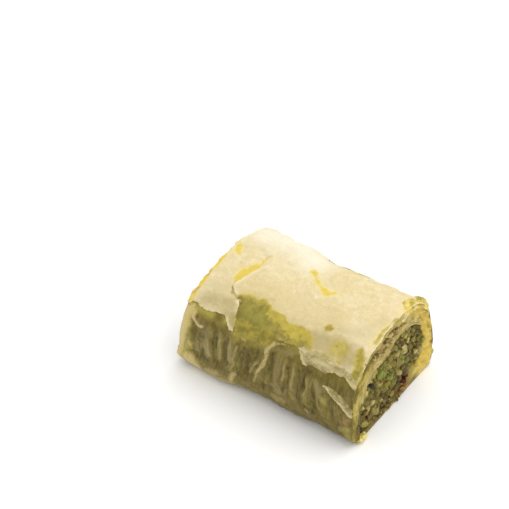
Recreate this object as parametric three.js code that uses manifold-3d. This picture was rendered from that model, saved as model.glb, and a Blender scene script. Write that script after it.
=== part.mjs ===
import * as THREE from "three";
import { mergeVertices } from "three/addons/utils/BufferGeometryUtils.js";
import Module from "manifold-3d";

const wasm = await Module();
wasm.setup();

// Driving dimensions, in millimetres.
// The roll runs along X, its filled right end faces +X, and its long sides face -Y and +Y.
const RIGHT_FOOT_X = 25.1;
const RIGHT_LEAN = 1.4;
const RIGHT_SKEW = 0.01;
const RIGHT_BULGE = 0.5;
const RIGHT_BULGE_Y = [7, 12];
const RIGHT_BULGE_FOOT = [3, 8];
const RIGHT_BULGE_TOP = [19, 24];
const LEFT_FOOT_X = -22.6;
const LEFT_FOOT_TUCK = 1.2;
const LEFT_FOOT_TUCK_HEIGHT = 9;
const LEFT_FOOT_ROUNDING = 0.8;
const LEFT_FOOT_ROUNDING_HEIGHT = 3;
const LEFT_LEAN = 2.6;
const LEFT_SKEW = 0.054;
const LEFT_CORNER_CUT = 0.5;
const LEFT_CORNER_Y = [0, 8];
const LEFT_CORNER_Z = [17, 25];
const CROWN_HEIGHT = 25.3;
const LENGTHWISE_NARROWING = 0.02;
const LENGTHWISE_LOWERING = 0.015;
const HALF_LENGTH = 24.5;
// Where the ends are measured for places along the roll.
const MEASURE_Y = 0;
const MEASURE_Z = 12;

// The section across the roll as (y, z), from the front foot over the crown to the back foot.
const SECTION = [
  [-15.9, 0],
  [-17.9, 3.2],
  [-18.6, 9.0],
  [-18.1, 14.6],
  [-15.6, 19.4],
  [-11.0, 22.6],
  [-5.0, 24.6],
  [1.0, CROWN_HEIGHT],
  [6.3, 24.7],
  [10.3, 22.7],
  [13.1, 19.2],
  [15.0, 13.6],
  [16.1, 7.5],
  [15.9, 2.6],
  [14.0, 0],
];

// The hollow that the filling lies in, as (y, z).
const CORE_HOLLOW = [
  [-13.2, 1.2],
  [-15.0, 3.0],
  [-15.6, 6.6],
  [-14.6, 9.8],
  [-12.2, 11.8],
  [-10.4, 14.0],
  [-8.2, 15.9],
  [-5.4, 16.5],
  [-2.8, 17.1],
  [-0.9, 18.4],
  [1.8, 19.2],
  [4.6, 19.1],
  [7.8, 18.1],
  [10.0, 16.3],
  [11.3, 13.0],
  [11.4, 9.4],
  [10.2, 6.0],
  [7.8, 3.0],
  [4.6, 1.4],
  [-4.0, 1.1],
];
// The pocket of filling rolled in between the wrapper and the inner ply.
const FOLD_HOLLOW = [
  [-9.4, 20.6],
  [-8.8, 21.5],
  [-7.2, 22.4],
  [-5.0, 23.1],
  [-2.4, 23.4],
  [0.4, 23.1],
  [2.6, 22.3],
  [3.7, 21.4],
  [2.4, 20.9],
  [-0.4, 20.4],
  [-1.9, 19.5],
  [-3.7, 18.8],
  [-5.8, 18.8],
  [-7.8, 19.5],
];
const CORE_POINTS = 56;
const FOLD_POINTS = 40;
const HOLLOW_REACH = 32;
const CLEARANCE = 0.3;

// Relief of the wrapper.
const STATIONS = 53;
const FOOT_ROWS = 4;
const PLEAT_ROWS = 12;
const SHOULDER_ROWS = 3;
const TOP_ROWS = 22;
const BASE_ROWS = 3;
const LEDGE_WIDTH = 0.2;
const BAND_TOP = 4.8;
const BAND_SWELL = 0.45;
const BAND_SWELL_RISE = [0.4, 2.2];
const BAND_SWELL_FALL = [3.6, 6.2];
const BAND_SWELL_SHARE = [0.7, 0.5];
const FOOT_BULGE = 1.1;
const FOOT_BULGE_X = -9;
const FOOT_BULGE_HALF_WIDTH = 8.5;
const FOOT_BULGE_FALL = [2, 9];
const FOOT_EASE = [0.3, 2];
const PLEAT_DEPTH = 0.65;
const PLEAT_RISE = [3.8, 6];
const PLEAT_FALL = [14.1, 19.1];
const PLEAT_SPAN = [6, 15];
const RIB_SHARE = 0.5;
const RIB_BASE_SHARE = 0.8;
const RIB_WANDER = 0.35;
const TOP_SHEET_RISE = 0.45;
const LOWER_FLAP_RISE = 0.35;
const HEM_WANDER = 0.25;
const FLAP_BELOW_HEM = 1.3;
const PATCH_CORE = 0.7;
const PATCH_REACH = 1.5;
// Slow unevenness of the skin: waves per millimetre along and round the roll, height.
const SWELLS = [
  [0.11, 0.1, 0.42],
  [0.34, 0.3, 0.16],
  [0.9, 0.7, 0.1],
];

// Salts that keep the patterns of the random values apart.
const SALT = {
  rib: 5,
  frontHem: 11,
  backHem: 12,
  band: 21,
  swell: 31,
  rim: 41,
  crag: 51,
  chunk: 61,
  backRib: 71,
};

// Ribs of the front long side: x at the top, x at the foot, height, half width.
const FRONT_RIBS = [
  [-17.9, -17.6, 0.35, 0.9],
  [-13.6, -12.6, 0.6, 1.0],
  [-10.6, -9.9, 0.65, 0.9],
  [-7.4, -6.9, 0.7, 1.1],
  [-4.6, -4.7, 0.35, 0.8],
  [1.3, -0.4, 0.7, 0.9],
  [4.9, 4.9, 0.6, 1.1],
  [7.0, 6.7, 0.45, 0.8],
  [9.2, 9.0, 0.5, 0.9],
  [12.9, 12.9, 0.6, 1.0],
  [15.6, 15.9, 0.4, 0.9],
  [17.3, 17.1, 0.5, 1.0],
  [21.0, 21.0, 0.4, 1.2],
];
const BACK_RIB_PITCH = 3.7;
const BACK_RIB_HEIGHT = 0.6;
const BACK_RIB_HEIGHT_SHARE = [0.7, 1.3];
const BACK_RIB_HALF_WIDTH = 1.05;
const BACK_RIB_SHIFT = 0.7;
const BACK_RIB_SLANT = 0.9;
const BACK_RIB_MARGINS = [3, 1];

// Front lower edge of the dry top sheets as (x, distance round the section from the front foot).
const FRONT_HEM = [
  [-24.5, 20.1],
  [-17.0, 20.3],
  [-11.4, 20.6],
  [-10.4, 19.7],
  [-8.3, 18.3],
  [-6.4, 17.5],
  [-4.4, 17.2],
  [-1.8, 17.8],
  [0.2, 19.3],
  [1.6, 20.8],
  [5.4, 21.3],
  [9.0, 22.0],
  [14.0, 22.2],
  [20.4, 21.8],
  [22.6, 20.6],
  [26.0, 19.0],
];
// Lower edge of the folded flap under it.
const FLAP_EDGE = [
  [-24.5, 17.4],
  [-9.0, 16.0],
  [-4.0, 15.6],
  [1.6, 18.6],
  [7.6, 20.2],
  [9.4, 20.7],
  [10.4, 19.6],
  [11.3, 18.7],
  [13.1, 19.1],
  [16.2, 18.7],
  [19.4, 20.0],
  [22.8, 19.4],
  [26.0, 18.0],
];
const FLAP_START_X = [7.9, 9.1];
// Back lower edge of the dry top sheets.
const BACK_HEM = [
  [-24.5, 52.0],
  [-18.6, 52.8],
  [-15.2, 52.4],
  [-12.6, 49.6],
  [-10.4, 49.4],
  [-8.0, 51.4],
  [-3.0, 48.4],
  [4.0, 47.1],
  [9.0, 47.2],
  [12.8, 48.0],
  [14.2, 49.8],
  [17.0, 51.2],
  [21.0, 51.6],
  [26.0, 50.5],
];

// Loose flakes and creases: (x, distance) at both ends, half width, height.
const FLAKES = [
  [1.9, 15.0, 1.5, 19.8, 0.45, 0.5],
  [-19.0, 18.6, -16.2, 15.8, 0.6, 0.45],
  [17.4, 16.4, 23.8, 12.0, 1.2, 0.4],
  [20.6, 44.0, 23.4, 49.5, 0.5, 0.5],
  [21.6, 42.0, 24.0, 45.5, 0.45, 0.45],
  [-16.8, 61.2, -11.6, 58.2, 0.8, 0.4],
  [4.6, 55.8, 12.4, 55.6, 1.2, 0.4],
  [17.8, 58.6, 22.6, 57.2, 1.2, 0.4],
];
// Tears and gaps in the top sheet, laid out in the same way but sunk.
const TEARS = [
  [-14.2, 29.0, -13.2, 36.0, 0.9, 0.5],
  [-13.4, 27.2, -9.9, 24.9, 0.35, 0.45],
];

// Rings of the cut ends, from the outer edge inwards: share of the radius, how far the ply stands out.
const END_RINGS = [
  [0.975, 0.2],
  [0.95, -0.35],
  [0.92, 0.15],
  [0.885, -0.35],
  [0.84, 0.1],
  [0.74, 0.0],
];
const END_CENTRE_Y = -1.2;
const END_CENTRE_Z = 12.5;
const RIM_RAGGED = 0.45;
const RIM_WAVE = 0.45;
const RIM_RING_STEP = 1.7;
const RIM_EASE = [0, 1.5];

// Crumbs of the filling. The block that they are cut from runs past the section on every side.
const CRUMB_CELL = 1.5;
const CRUMB_RAGGED = 0.9;
// Waves per millimetre and share of each size of crumb.
const CRUMB_SIZES = [
  [0.34, 0.55],
  [0.85, 0.45],
];
const FILLING_RECESS = 0.2;
const BLOCK_START_Y = -18;
const BLOCK_WIDTH = 33;
const BLOCK_HEIGHT = 26;
const CHUNK_CELL = 3.5;
const CHUNK_SPAN_Y = [-15, 12];
const CHUNK_SPAN_Z = [3, 24];
const CHUNK_RADIUS_MIN = 0.9;
const CHUNK_RADIUS_MAX = 1.8;
const CHUNK_FLATNESS = 0.8;
const CHUNK_STRETCH = [0.75, 1.25];
const CHUNK_SINK = 0.3;

// The curl of syrupy pastry at the front foot of the right end.
const CURL_RADIUS = 1.0;
const CURL_LENGTH = 1.9;
const CURL_CENTRE = [25.2, -14.4, 1.3];
const CURL_TILT = 0.2;
const CURL_CAP_SEGMENTS = 4;
const CURL_SIDES = 10;

const PASTRY_COLOUR = 0xd9c58c;
const FILLING_COLOUR = 0x77702f;
const FOLD_COLOUR = 0x876f45;

// A repeatable value between 0 and 1 for a cell of a lattice.
function cellValue(i, j, salt) {
  const wave = Math.sin(i * 127.1 + j * 311.7 + salt * 74.7) * 43758.5453;
  return wave - Math.floor(wave);
}

// Rises smoothly from 0 to 1 as the value passes through a range.
function rising(value, [from, to]) {
  return THREE.MathUtils.smoothstep(value, from, to);
}

function falling(value, range) {
  return 1 - rising(value, range);
}

// Smooth noise between -1 and 1 over a plane.
function ripple(a, b, salt) {
  const i = Math.floor(a);
  const j = Math.floor(b);
  const u = rising(a - i, [0, 1]);
  const v = rising(b - j, [0, 1]);
  const low = THREE.MathUtils.lerp(cellValue(i, j, salt), cellValue(i + 1, j, salt), u);
  const high = THREE.MathUtils.lerp(cellValue(i, j + 1, salt), cellValue(i + 1, j + 1, salt), u);
  return THREE.MathUtils.lerp(low, high, v) * 2 - 1;
}

// The value at x of a line through (x, value) points.
function alongLine(points, x) {
  let k = 1;
  while (k < points.length - 1 && points[k][0] < x) k += 1;
  const [x0, v0] = points[k - 1];
  const [x1, v1] = points[k];
  const share = THREE.MathUtils.clamp((x - x0) / (x1 - x0), 0, 1);
  return THREE.MathUtils.lerp(v0, v1, share);
}

const SECTION_STEPS = 1200;
const sectionCurve = new THREE.SplineCurve(SECTION.map(([y, z]) => new THREE.Vector2(y, z)));
sectionCurve.arcLengthDivisions = SECTION_STEPS;
const GIRTH = sectionCurve.getLength();

// How far a capsule-shaped patch on the skin reaches to (x, s): 1 inside, fading to 0 at its edge.
function patch(x, s, [x0, s0, x1, s1, halfWidth]) {
  const dx = x1 - x0;
  const ds = s1 - s0;
  const share = THREE.MathUtils.clamp(((x - x0) * dx + (s - s0) * ds) / (dx * dx + ds * ds), 0, 1);
  const away = Math.hypot(x - x0 - dx * share, s - s0 - ds * share);
  return falling(away, [halfWidth * PATCH_CORE, halfWidth * PATCH_REACH]);
}

// Pleats of a long side; depth is the distance up the side from its foot.
function pleats(x, depth, ribs) {
  const [low, high] = PLEAT_SPAN;
  const up = THREE.MathUtils.clamp((depth - low) / (high - low), 0, 1);
  let height = -PLEAT_DEPTH;
  ribs.forEach(([top, foot, rise, halfWidth], n) => {
    const middle = THREE.MathUtils.lerp(foot, top, up) + RIB_WANDER * ripple(depth * 0.4, n, SALT.rib);
    const peak = rise * RIB_SHARE + PLEAT_DEPTH * RIB_BASE_SHARE;
    height += peak * Math.exp(-(((x - middle) / halfWidth) ** 2));
  });
  return height * rising(depth, PLEAT_RISE) * falling(depth, PLEAT_FALL);
}

function backRibs() {
  const ribs = [];
  const [leftMargin, rightMargin] = BACK_RIB_MARGINS;
  for (let x = -HALF_LENGTH + leftMargin; x < HALF_LENGTH - rightMargin; x += BACK_RIB_PITCH) {
    const value = (n) => cellValue(ribs.length, n, SALT.backRib);
    const middle = x + (value(1) * 2 - 1) * BACK_RIB_SHIFT;
    const slant = (value(2) * 2 - 1) * BACK_RIB_SLANT;
    const height = BACK_RIB_HEIGHT * THREE.MathUtils.lerp(...BACK_RIB_HEIGHT_SHARE, value(3));
    ribs.push([middle, middle + slant, height, BACK_RIB_HALF_WIDTH]);
  }
  return ribs;
}

const BACK_RIBS = backRibs();

function frontHem(x) {
  return alongLine(FRONT_HEM, x) + HEM_WANDER * ripple(x, 0, SALT.frontHem);
}

function flapEdge(x) {
  return Math.min(alongLine(FLAP_EDGE, x), frontHem(x) - FLAP_BELOW_HEM);
}

function backHem(x) {
  return alongLine(BACK_HEM, x) + HEM_WANDER * ripple(x, 0, SALT.backHem);
}

// The band at the foot of both long sides swells a little, and the left part of the front foot bulges.
function footRelief(x, s, foot) {
  const [mean, change] = BAND_SWELL_SHARE;
  const share = mean + change * ripple(x * 0.2, s * 0.1, SALT.band);
  const band = BAND_SWELL * share * rising(foot, BAND_SWELL_RISE) * falling(foot, BAND_SWELL_FALL);
  const bulge = Math.exp(-(((x - FOOT_BULGE_X) / FOOT_BULGE_HALF_WIDTH) ** 2));
  return band + FOOT_BULGE * bulge * falling(s, FOOT_BULGE_FALL);
}

// How far the skin stands out from the plain section at x and at the distance s round it.
function relief(x, s) {
  const hem = frontHem(x);
  const flap = flapEdge(x);
  const back = backHem(x);
  const half = LEDGE_WIDTH / 2;
  const sheet = rising(s, [hem - half, hem + half]) * falling(s, [back - half, back + half]);
  const lowerFlap = rising(s, [flap - half, flap + half]) * rising(x, FLAP_START_X) * (1 - sheet);
  let height = TOP_SHEET_RISE * sheet + LOWER_FLAP_RISE * lowerFlap;
  height += pleats(x, s, FRONT_RIBS) * (1 - sheet) * (1 - lowerFlap);
  height += pleats(x, GIRTH - s, BACK_RIBS) * (1 - sheet);
  const foot = Math.min(s, GIRTH - s);
  height += footRelief(x, s, foot);
  SWELLS.forEach(([alongRoll, roundRoll, swell], n) => {
    height += swell * ripple(x * alongRoll, s * roundRoll, SALT.swell + n);
  });
  for (const flake of FLAKES) height += flake[5] * patch(x, s, flake);
  for (const tear of TEARS) height -= tear[5] * patch(x, s, tear);
  return height * rising(foot, FOOT_EASE);
}

function leftEnd(y, z) {
  const tuck = LEFT_FOOT_TUCK * rising(z, [0, LEFT_FOOT_TUCK_HEIGHT]);
  const rounding = LEFT_FOOT_ROUNDING * falling(z, [0, LEFT_FOOT_ROUNDING_HEIGHT]);
  const corner = LEFT_CORNER_CUT * rising(y, LEFT_CORNER_Y) * rising(z, LEFT_CORNER_Z);
  const lean = LEFT_LEAN * (z / CROWN_HEIGHT) ** 2;
  return LEFT_FOOT_X + tuck + rounding + corner + lean + LEFT_SKEW * y;
}

function rightEnd(y, z) {
  const height = rising(z, RIGHT_BULGE_FOOT) * falling(z, RIGHT_BULGE_TOP);
  const bulge = RIGHT_BULGE * rising(y, RIGHT_BULGE_Y) * height;
  return RIGHT_FOOT_X - RIGHT_LEAN * (z / CROWN_HEIGHT) + RIGHT_SKEW * y + bulge;
}

// The whole roll grows a little towards its left end.
function grown(x, y, z) {
  const u = x / HALF_LENGTH;
  return [x, y * (1 - LENGTHWISE_NARROWING * u), z * (1 - LENGTHWISE_LOWERING * u)];
}

// Rows of the skin at one station: distances round the section, close pairs along each ledge.
function rowsAt(x) {
  const half = LEDGE_WIDTH / 2;
  const stops = [
    [0, BAND_TOP, FOOT_ROWS],
    [BAND_TOP, flapEdge(x) - half, PLEAT_ROWS],
    [flapEdge(x) + half, frontHem(x) - half, SHOULDER_ROWS],
    [frontHem(x) + half, backHem(x) - half, TOP_ROWS],
    [backHem(x) + half, GIRTH - BAND_TOP, PLEAT_ROWS],
  ];
  const rows = [];
  stops.forEach(([from, to, count], n) => {
    const first = n === 1 ? 1 : 0;
    for (let k = first; k <= count; k += 1) rows.push(from + ((to - from) * k) / count);
  });
  for (let k = 1; k <= FOOT_ROWS; k += 1) rows.push(GIRTH - BAND_TOP + (BAND_TOP * k) / FOOT_ROWS);
  return rows;
}

// One station of the loop: the skin over the top, then the flat base back to the front foot.
function loopAt(share) {
  const firstX = leftEnd(MEASURE_Y, MEASURE_Z);
  const lastX = rightEnd(MEASURE_Y, MEASURE_Z);
  const middleX = THREE.MathUtils.lerp(firstX, lastX, share);
  const rows = rowsAt(middleX);
  const loop = rows.map((s) => {
    const u = THREE.MathUtils.clamp(s / GIRTH, 0, 1);
    const point = sectionCurve.getPointAt(u);
    const tangent = sectionCurve.getTangentAt(u);
    const height = relief(middleX, s);
    const y = point.x - tangent.y * height;
    const z = Math.max(point.y + tangent.x * height, 0);
    const x = THREE.MathUtils.lerp(leftEnd(y, z), rightEnd(y, z), share);
    return grown(x, y, z);
  });
  const back = loop[loop.length - 1];
  const front = loop[0];
  for (let k = 1; k <= BASE_ROWS; k += 1) {
    const y = THREE.MathUtils.lerp(back[1], front[1], k / (BASE_ROWS + 1));
    loop.push([THREE.MathUtils.lerp(leftEnd(y, 0), rightEnd(y, 0), share), y, 0]);
  }
  return loop;
}

// A cut end: rings of plies that stand out and fall back, closed at the middle.
function ringsOfEnd(loop, outward, salt) {
  return END_RINGS.map(([share, standOut], n) =>
    loop.map(([x, y, z], k) => {
      const wander = RIM_RAGGED * ripple(k * RIM_WAVE, n * RIM_RING_STEP, salt) * rising(z, RIM_EASE);
      const ringY = END_CENTRE_Y + (y - END_CENTRE_Y) * share;
      const ringZ = END_CENTRE_Z + (z - END_CENTRE_Z) * share;
      return [x + outward * (standOut + wander), ringY, ringZ];
    }),
  );
}

function solidOf(geometry) {
  const bare = geometry.clone();
  bare.deleteAttribute("normal");
  bare.deleteAttribute("uv");
  const merged = mergeVertices(bare, 1e-4);
  return new wasm.Manifold(
    new wasm.Mesh({
      numProp: 3,
      vertProperties: new Float32Array(merged.attributes.position.array),
      triVerts: new Uint32Array(merged.index.array),
    }),
  );
}

function geometryOf(solid) {
  const mesh = solid.getMesh();
  const geometry = new THREE.BufferGeometry();
  geometry.setAttribute("position", new THREE.BufferAttribute(mesh.vertProperties, mesh.numProp));
  geometry.setIndex(new THREE.BufferAttribute(mesh.triVerts, 1));
  geometry.computeVertexNormals();
  return geometry;
}

// Closed skin through loops of equal length, the first and the last closed by a fan round a middle point.
function closedSkin(loops, firstMiddle, lastMiddle) {
  const count = loops[0].length;
  const positions = loops.flat(2);
  const index = [];
  for (let i = 0; i < loops.length - 1; i += 1) {
    for (let k = 0; k < count; k += 1) {
      const next = (k + 1) % count;
      const a = i * count + k;
      const b = i * count + next;
      index.push(a, a + count, b);
      index.push(b, a + count, b + count);
    }
  }
  const first = positions.length / 3;
  positions.push(...firstMiddle, ...lastMiddle);
  const lastLoop = (loops.length - 1) * count;
  for (let k = 0; k < count; k += 1) {
    const next = (k + 1) % count;
    index.push(first, k, next);
    index.push(first + 1, lastLoop + next, lastLoop + k);
  }
  const geometry = new THREE.BufferGeometry();
  geometry.setAttribute("position", new THREE.Float32BufferAttribute(positions, 3));
  geometry.setIndex(index);
  return geometry;
}

function rollSolid() {
  const loops = [];
  for (let i = 0; i < STATIONS; i += 1) loops.push(loopAt(i / (STATIONS - 1)));
  const left = ringsOfEnd(loops[0], -1, SALT.rim).reverse();
  const right = ringsOfEnd(loops[STATIONS - 1], 1, SALT.rim + 1);
  const middle = [END_CENTRE_Y, END_CENTRE_Z];
  return solidOf(
    closedSkin(
      [...left, ...loops, ...right],
      [leftEnd(...middle), ...middle],
      [rightEnd(...middle), ...middle],
    ),
  );
}

// Turns a drawing in (y, z), extruded along its own Z, so that it lies along X.
const alongX = new THREE.Matrix4().makeBasis(
  new THREE.Vector3(0, 1, 0),
  new THREE.Vector3(0, 0, 1),
  new THREE.Vector3(1, 0, 0),
);

// Outline of a hollow moved inwards by an inset.
function hollowOutline(hollow, count, inset) {
  const points = hollow.map(([y, z]) => new THREE.Vector3(y, z, 0));
  const curve = new THREE.CatmullRomCurve3(points, true, "centripetal");
  const outline = curve.getSpacedPoints(count).slice(0, count);
  return outline.map((point, k) => {
    const before = outline[(k + count - 1) % count];
    const after = outline[(k + 1) % count];
    const along = after.clone().sub(before).normalize();
    return new THREE.Vector2(point.x + along.y * inset, point.y - along.x * inset);
  });
}

function hollowSolid(hollow, count, inset) {
  const geometry = new THREE.ExtrudeGeometry(new THREE.Shape(hollowOutline(hollow, count, inset)), {
    depth: 2 * HOLLOW_REACH,
    bevelEnabled: false,
    steps: 1,
  });
  geometry.translate(0, 0, -HOLLOW_REACH);
  geometry.applyMatrix4(alongX);
  return solidOf(geometry);
}

// Height of the crumbly end face of the filling over its plane.
function crag(y, z, side) {
  let height = 0;
  CRUMB_SIZES.forEach(([wave, share], n) => {
    height += share * ripple(y * wave, z * wave, SALT.crag + side + n * 3);
  });
  return CRUMB_RAGGED * height - FILLING_RECESS;
}

// A block as long as the filling with both ends rough.
function roughBlock() {
  const columns = Math.ceil(BLOCK_WIDTH / CRUMB_CELL);
  const rows = Math.ceil(BLOCK_HEIGHT / CRUMB_CELL);
  const place = (i, j) => [BLOCK_START_Y + i * CRUMB_CELL, j * CRUMB_CELL];
  const positions = [];
  const index = [];
  for (const side of [-1, 1]) {
    for (let j = 0; j <= rows; j += 1) {
      for (let i = 0; i <= columns; i += 1) {
        const [y, z] = place(i, j);
        const plane = side < 0 ? leftEnd(y, z) : rightEnd(y, z);
        const x = plane + side * crag(y, z, side);
        positions.push(x, y, z);
      }
    }
  }
  const at = (side, i, j) => side * (rows + 1) * (columns + 1) + j * (columns + 1) + i;
  const quad = (a, b, c, d) => index.push(a, b, c, a, c, d);
  for (let j = 0; j < rows; j += 1) {
    for (let i = 0; i < columns; i += 1) {
      quad(at(1, i, j), at(1, i + 1, j), at(1, i + 1, j + 1), at(1, i, j + 1));
      quad(at(0, i, j), at(0, i, j + 1), at(0, i + 1, j + 1), at(0, i + 1, j));
    }
  }
  for (let i = 0; i < columns; i += 1) {
    quad(at(0, i, 0), at(0, i + 1, 0), at(1, i + 1, 0), at(1, i, 0));
    quad(at(0, i, rows), at(1, i, rows), at(1, i + 1, rows), at(0, i + 1, rows));
  }
  for (let j = 0; j < rows; j += 1) {
    quad(at(0, 0, j), at(1, 0, j), at(1, 0, j + 1), at(0, 0, j + 1));
    quad(at(0, columns, j), at(0, columns, j + 1), at(1, columns, j + 1), at(1, columns, j));
  }
  const geometry = new THREE.BufferGeometry();
  geometry.setAttribute("position", new THREE.Float32BufferAttribute(positions, 3));
  geometry.setIndex(index);
  return solidOf(geometry);
}

// Nut chunks set in one end, one in each cell of a lattice, moved off its middle.
function chunks(side) {
  const made = [];
  const [firstY, lastY] = CHUNK_SPAN_Y;
  const [firstZ, lastZ] = CHUNK_SPAN_Z;
  for (let y = firstY; y < lastY; y += CHUNK_CELL) {
    for (let z = firstZ; z < lastZ; z += CHUNK_CELL) {
      const value = (n) => cellValue(y, z, SALT.chunk + side + n * 3);
      const radius = THREE.MathUtils.lerp(CHUNK_RADIUS_MIN, CHUNK_RADIUS_MAX, value(0));
      const midY = y + (value(1) - 0.5) * CHUNK_CELL;
      const midZ = z + (value(2) - 0.5) * CHUNK_CELL;
      const face = side < 0 ? leftEnd(midY, midZ) : rightEnd(midY, midZ);
      const shape = new THREE.IcosahedronGeometry(radius, 0);
      shape.scale(CHUNK_FLATNESS, 1, THREE.MathUtils.lerp(...CHUNK_STRETCH, value(3)));
      shape.rotateX(value(4) * Math.PI);
      shape.rotateZ(value(5) * Math.PI);
      shape.translate(face - side * (FILLING_RECESS + CHUNK_SINK * radius), midY, midZ);
      made.push(solidOf(shape));
    }
  }
  return made;
}

function largestBody(solid) {
  const bodies = solid.decompose();
  return bodies.reduce((best, body) => (body.volume() > best.volume() ? body : best));
}

function pastrySolid() {
  const curl = new THREE.CapsuleGeometry(CURL_RADIUS, CURL_LENGTH, CURL_CAP_SEGMENTS, CURL_SIDES);
  curl.rotateX(CURL_TILT);
  curl.translate(...CURL_CENTRE);
  const core = hollowSolid(CORE_HOLLOW, CORE_POINTS, 0);
  const fold = hollowSolid(FOLD_HOLLOW, FOLD_POINTS, 0);
  return largestBody(rollSolid().add(solidOf(curl)).subtract(core).subtract(fold));
}

function crumblyBlock() {
  let body = roughBlock();
  for (const side of [-1, 1]) {
    for (const chunk of chunks(side)) body = body.add(chunk);
  }
  return body;
}

const crumbs = crumblyBlock();

function fillingSolid(hollow, count) {
  return largestBody(crumbs.intersect(hollowSolid(hollow, count, CLEARANCE)));
}

function namedMesh(name, solid, colour) {
  const material = new THREE.MeshStandardMaterial({ color: colour, roughness: 0.6, metalness: 0 });
  const mesh = new THREE.Mesh(geometryOf(solid), material);
  mesh.name = name;
  return mesh;
}

const group = new THREE.Group();
group.add(namedMesh("pastry", pastrySolid(), PASTRY_COLOUR));
group.add(namedMesh("filling", fillingSolid(CORE_HOLLOW, CORE_POINTS), FILLING_COLOUR));
group.add(namedMesh("fold_filling", fillingSolid(FOLD_HOLLOW, FOLD_POINTS), FOLD_COLOUR));

// The origin goes to the middle of the base.
const bounds = new THREE.Box3().setFromObject(group);
const middle = bounds.getCenter(new THREE.Vector3());
group.position.set(-middle.x, -middle.y, -bounds.min.z);

export default group;
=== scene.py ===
import math

import bmesh
import bpy
import numpy as np
from bpy.props import FloatProperty, FloatVectorProperty, IntProperty, PointerProperty
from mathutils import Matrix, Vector


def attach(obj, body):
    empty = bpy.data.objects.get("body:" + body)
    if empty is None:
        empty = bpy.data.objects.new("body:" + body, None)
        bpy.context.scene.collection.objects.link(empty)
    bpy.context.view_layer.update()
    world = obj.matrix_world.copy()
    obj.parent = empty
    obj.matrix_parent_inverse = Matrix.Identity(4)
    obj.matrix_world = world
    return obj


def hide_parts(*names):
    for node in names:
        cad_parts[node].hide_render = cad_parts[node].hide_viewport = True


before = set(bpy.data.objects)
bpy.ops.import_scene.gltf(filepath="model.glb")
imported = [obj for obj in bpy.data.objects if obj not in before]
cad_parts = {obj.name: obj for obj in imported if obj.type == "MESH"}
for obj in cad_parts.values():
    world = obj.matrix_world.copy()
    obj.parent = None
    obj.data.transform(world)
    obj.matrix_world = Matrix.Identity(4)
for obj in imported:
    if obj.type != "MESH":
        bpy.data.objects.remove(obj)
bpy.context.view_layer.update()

bl_info = {
    "name": "Rolled Pistachio Baklava",
    "version": (1, 0, 0),
    "blender": (4, 5, 0),
    "location": "3D View > Sidebar > Baklava",
    "description": "Dresses a rolled baklava piece: pastry sheets, pleated sides, plies and nut filling",
    "category": "Mesh",
}

MM = 0.001
# The one body of the frame, which every piece rides on.
PIECE = "root"

# ---------------------------------------------------------------- drawing

# The roll is drawn in millimetres: x along it, s round it from the front foot over the crown.
DRAWING_SHIFT = np.array([-1.3258914948, 1.2426300048, 0.0])
# The section of the roll as (y, z), from its front foot to its back foot.
SECTION = (
    (-15.9, 0), (-17.9, 3.2), (-18.6, 9), (-18.1, 14.6), (-15.6, 19.4),
    (-11, 22.6), (-5, 24.6), (1, 25.3), (6.3, 24.7), (10.3, 22.7),
    (13.1, 19.2), (15, 13.6), (16.1, 7.5), (15.9, 2.6), (14, 0),
)  # fmt: skip
CROWN = 25.3
HALF_LENGTH = 24.5
# Shares by which the roll is narrower and lower at its right end than at its middle.
NARROWER, LOWER = 0.02, 0.015

# Outlines of the core filling, of the filling in the fold, and of the opening that holds both, as (y, z).
CORE_OUTLINE = (
    (-13.2, 1.2), (-15, 3), (-15.6, 6.6), (-14.6, 9.8), (-12.2, 11.8), (-10.4, 14),
    (-8.2, 15.9), (-5.4, 16.5), (-2.8, 17.1), (-0.9, 18.4), (1.8, 19.2), (4.6, 19.1),
    (7.8, 18.1), (10, 16.3), (11.3, 13), (11.4, 9.4), (10.2, 6), (7.8, 3),
    (4.6, 1.4), (-4, 1.1),
)  # fmt: skip
FOLD_OUTLINE = (
    (-9.4, 20.6), (-8.8, 21.5), (-7.2, 22.4), (-5, 23.1), (-2.4, 23.4), (0.4, 23.1), (2.6, 22.3),
    (3.7, 21.4), (2.4, 20.9), (-0.4, 20.4), (-1.9, 19.5), (-3.7, 18.8), (-5.8, 18.8), (-7.8, 19.5),
)  # fmt: skip
OPENING_OUTLINE = (
    (-13.2, 1.2), (-15, 3), (-15.6, 6.6), (-14.7, 9.8), (-12.9, 12.2), (-11.9, 15),
    (-11.3, 18.2), (-10, 20.4), (-8.8, 21.6), (-7.2, 22.5), (-5, 23.2), (-2.4, 23.5),
    (0.4, 23.2), (2.8, 22.3), (5.2, 20.6), (7.8, 18.7), (10.1, 16.5), (11.3, 13), (11.4, 9.4),
    (10.2, 6), (7.8, 3), (4.6, 1.4), (-4, 1.1),
)  # fmt: skip
# Middle line of the inner ply, and half its thickness along that line.
PLY_LINE = (
    (-14.4, 11.6), (-13, 14.6), (-10.8, 16.9), (-8.4, 17.8), (-5.8, 17.65), (-3.4, 17.95),
    (-1.3, 19.1), (1.2, 20), (4.4, 20.1), (7.8, 19), (10.2, 17),
)  # fmt: skip
PLY_HALF = (1.0, 1.15, 1.2, 1.1, 1.1, 0.95, 0.75, 0.7, 0.75, 0.8, 0.8)
# More than any distance in the drawing.
FAR = 1e9
CREASE_SHARPNESS = 7
# How far out from its line a ridge is worked out, in half widths.
RIDGE_REACH = 2.6


def smooth(value, low, high):
    """0 below low, 1 above high, and a soft step between them."""
    share = np.clip((value - low) / (high - low), 0.0, 1.0)
    return share * share * (3.0 - 2.0 * share)


def mix(low, high, share):
    """The value that lies a share of the way from low to high."""
    return low + (high - low) * share


def bell(away, half):
    """1 on a line, falling off softly over a half width."""
    return np.exp(-((away / half) ** 2))


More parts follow.
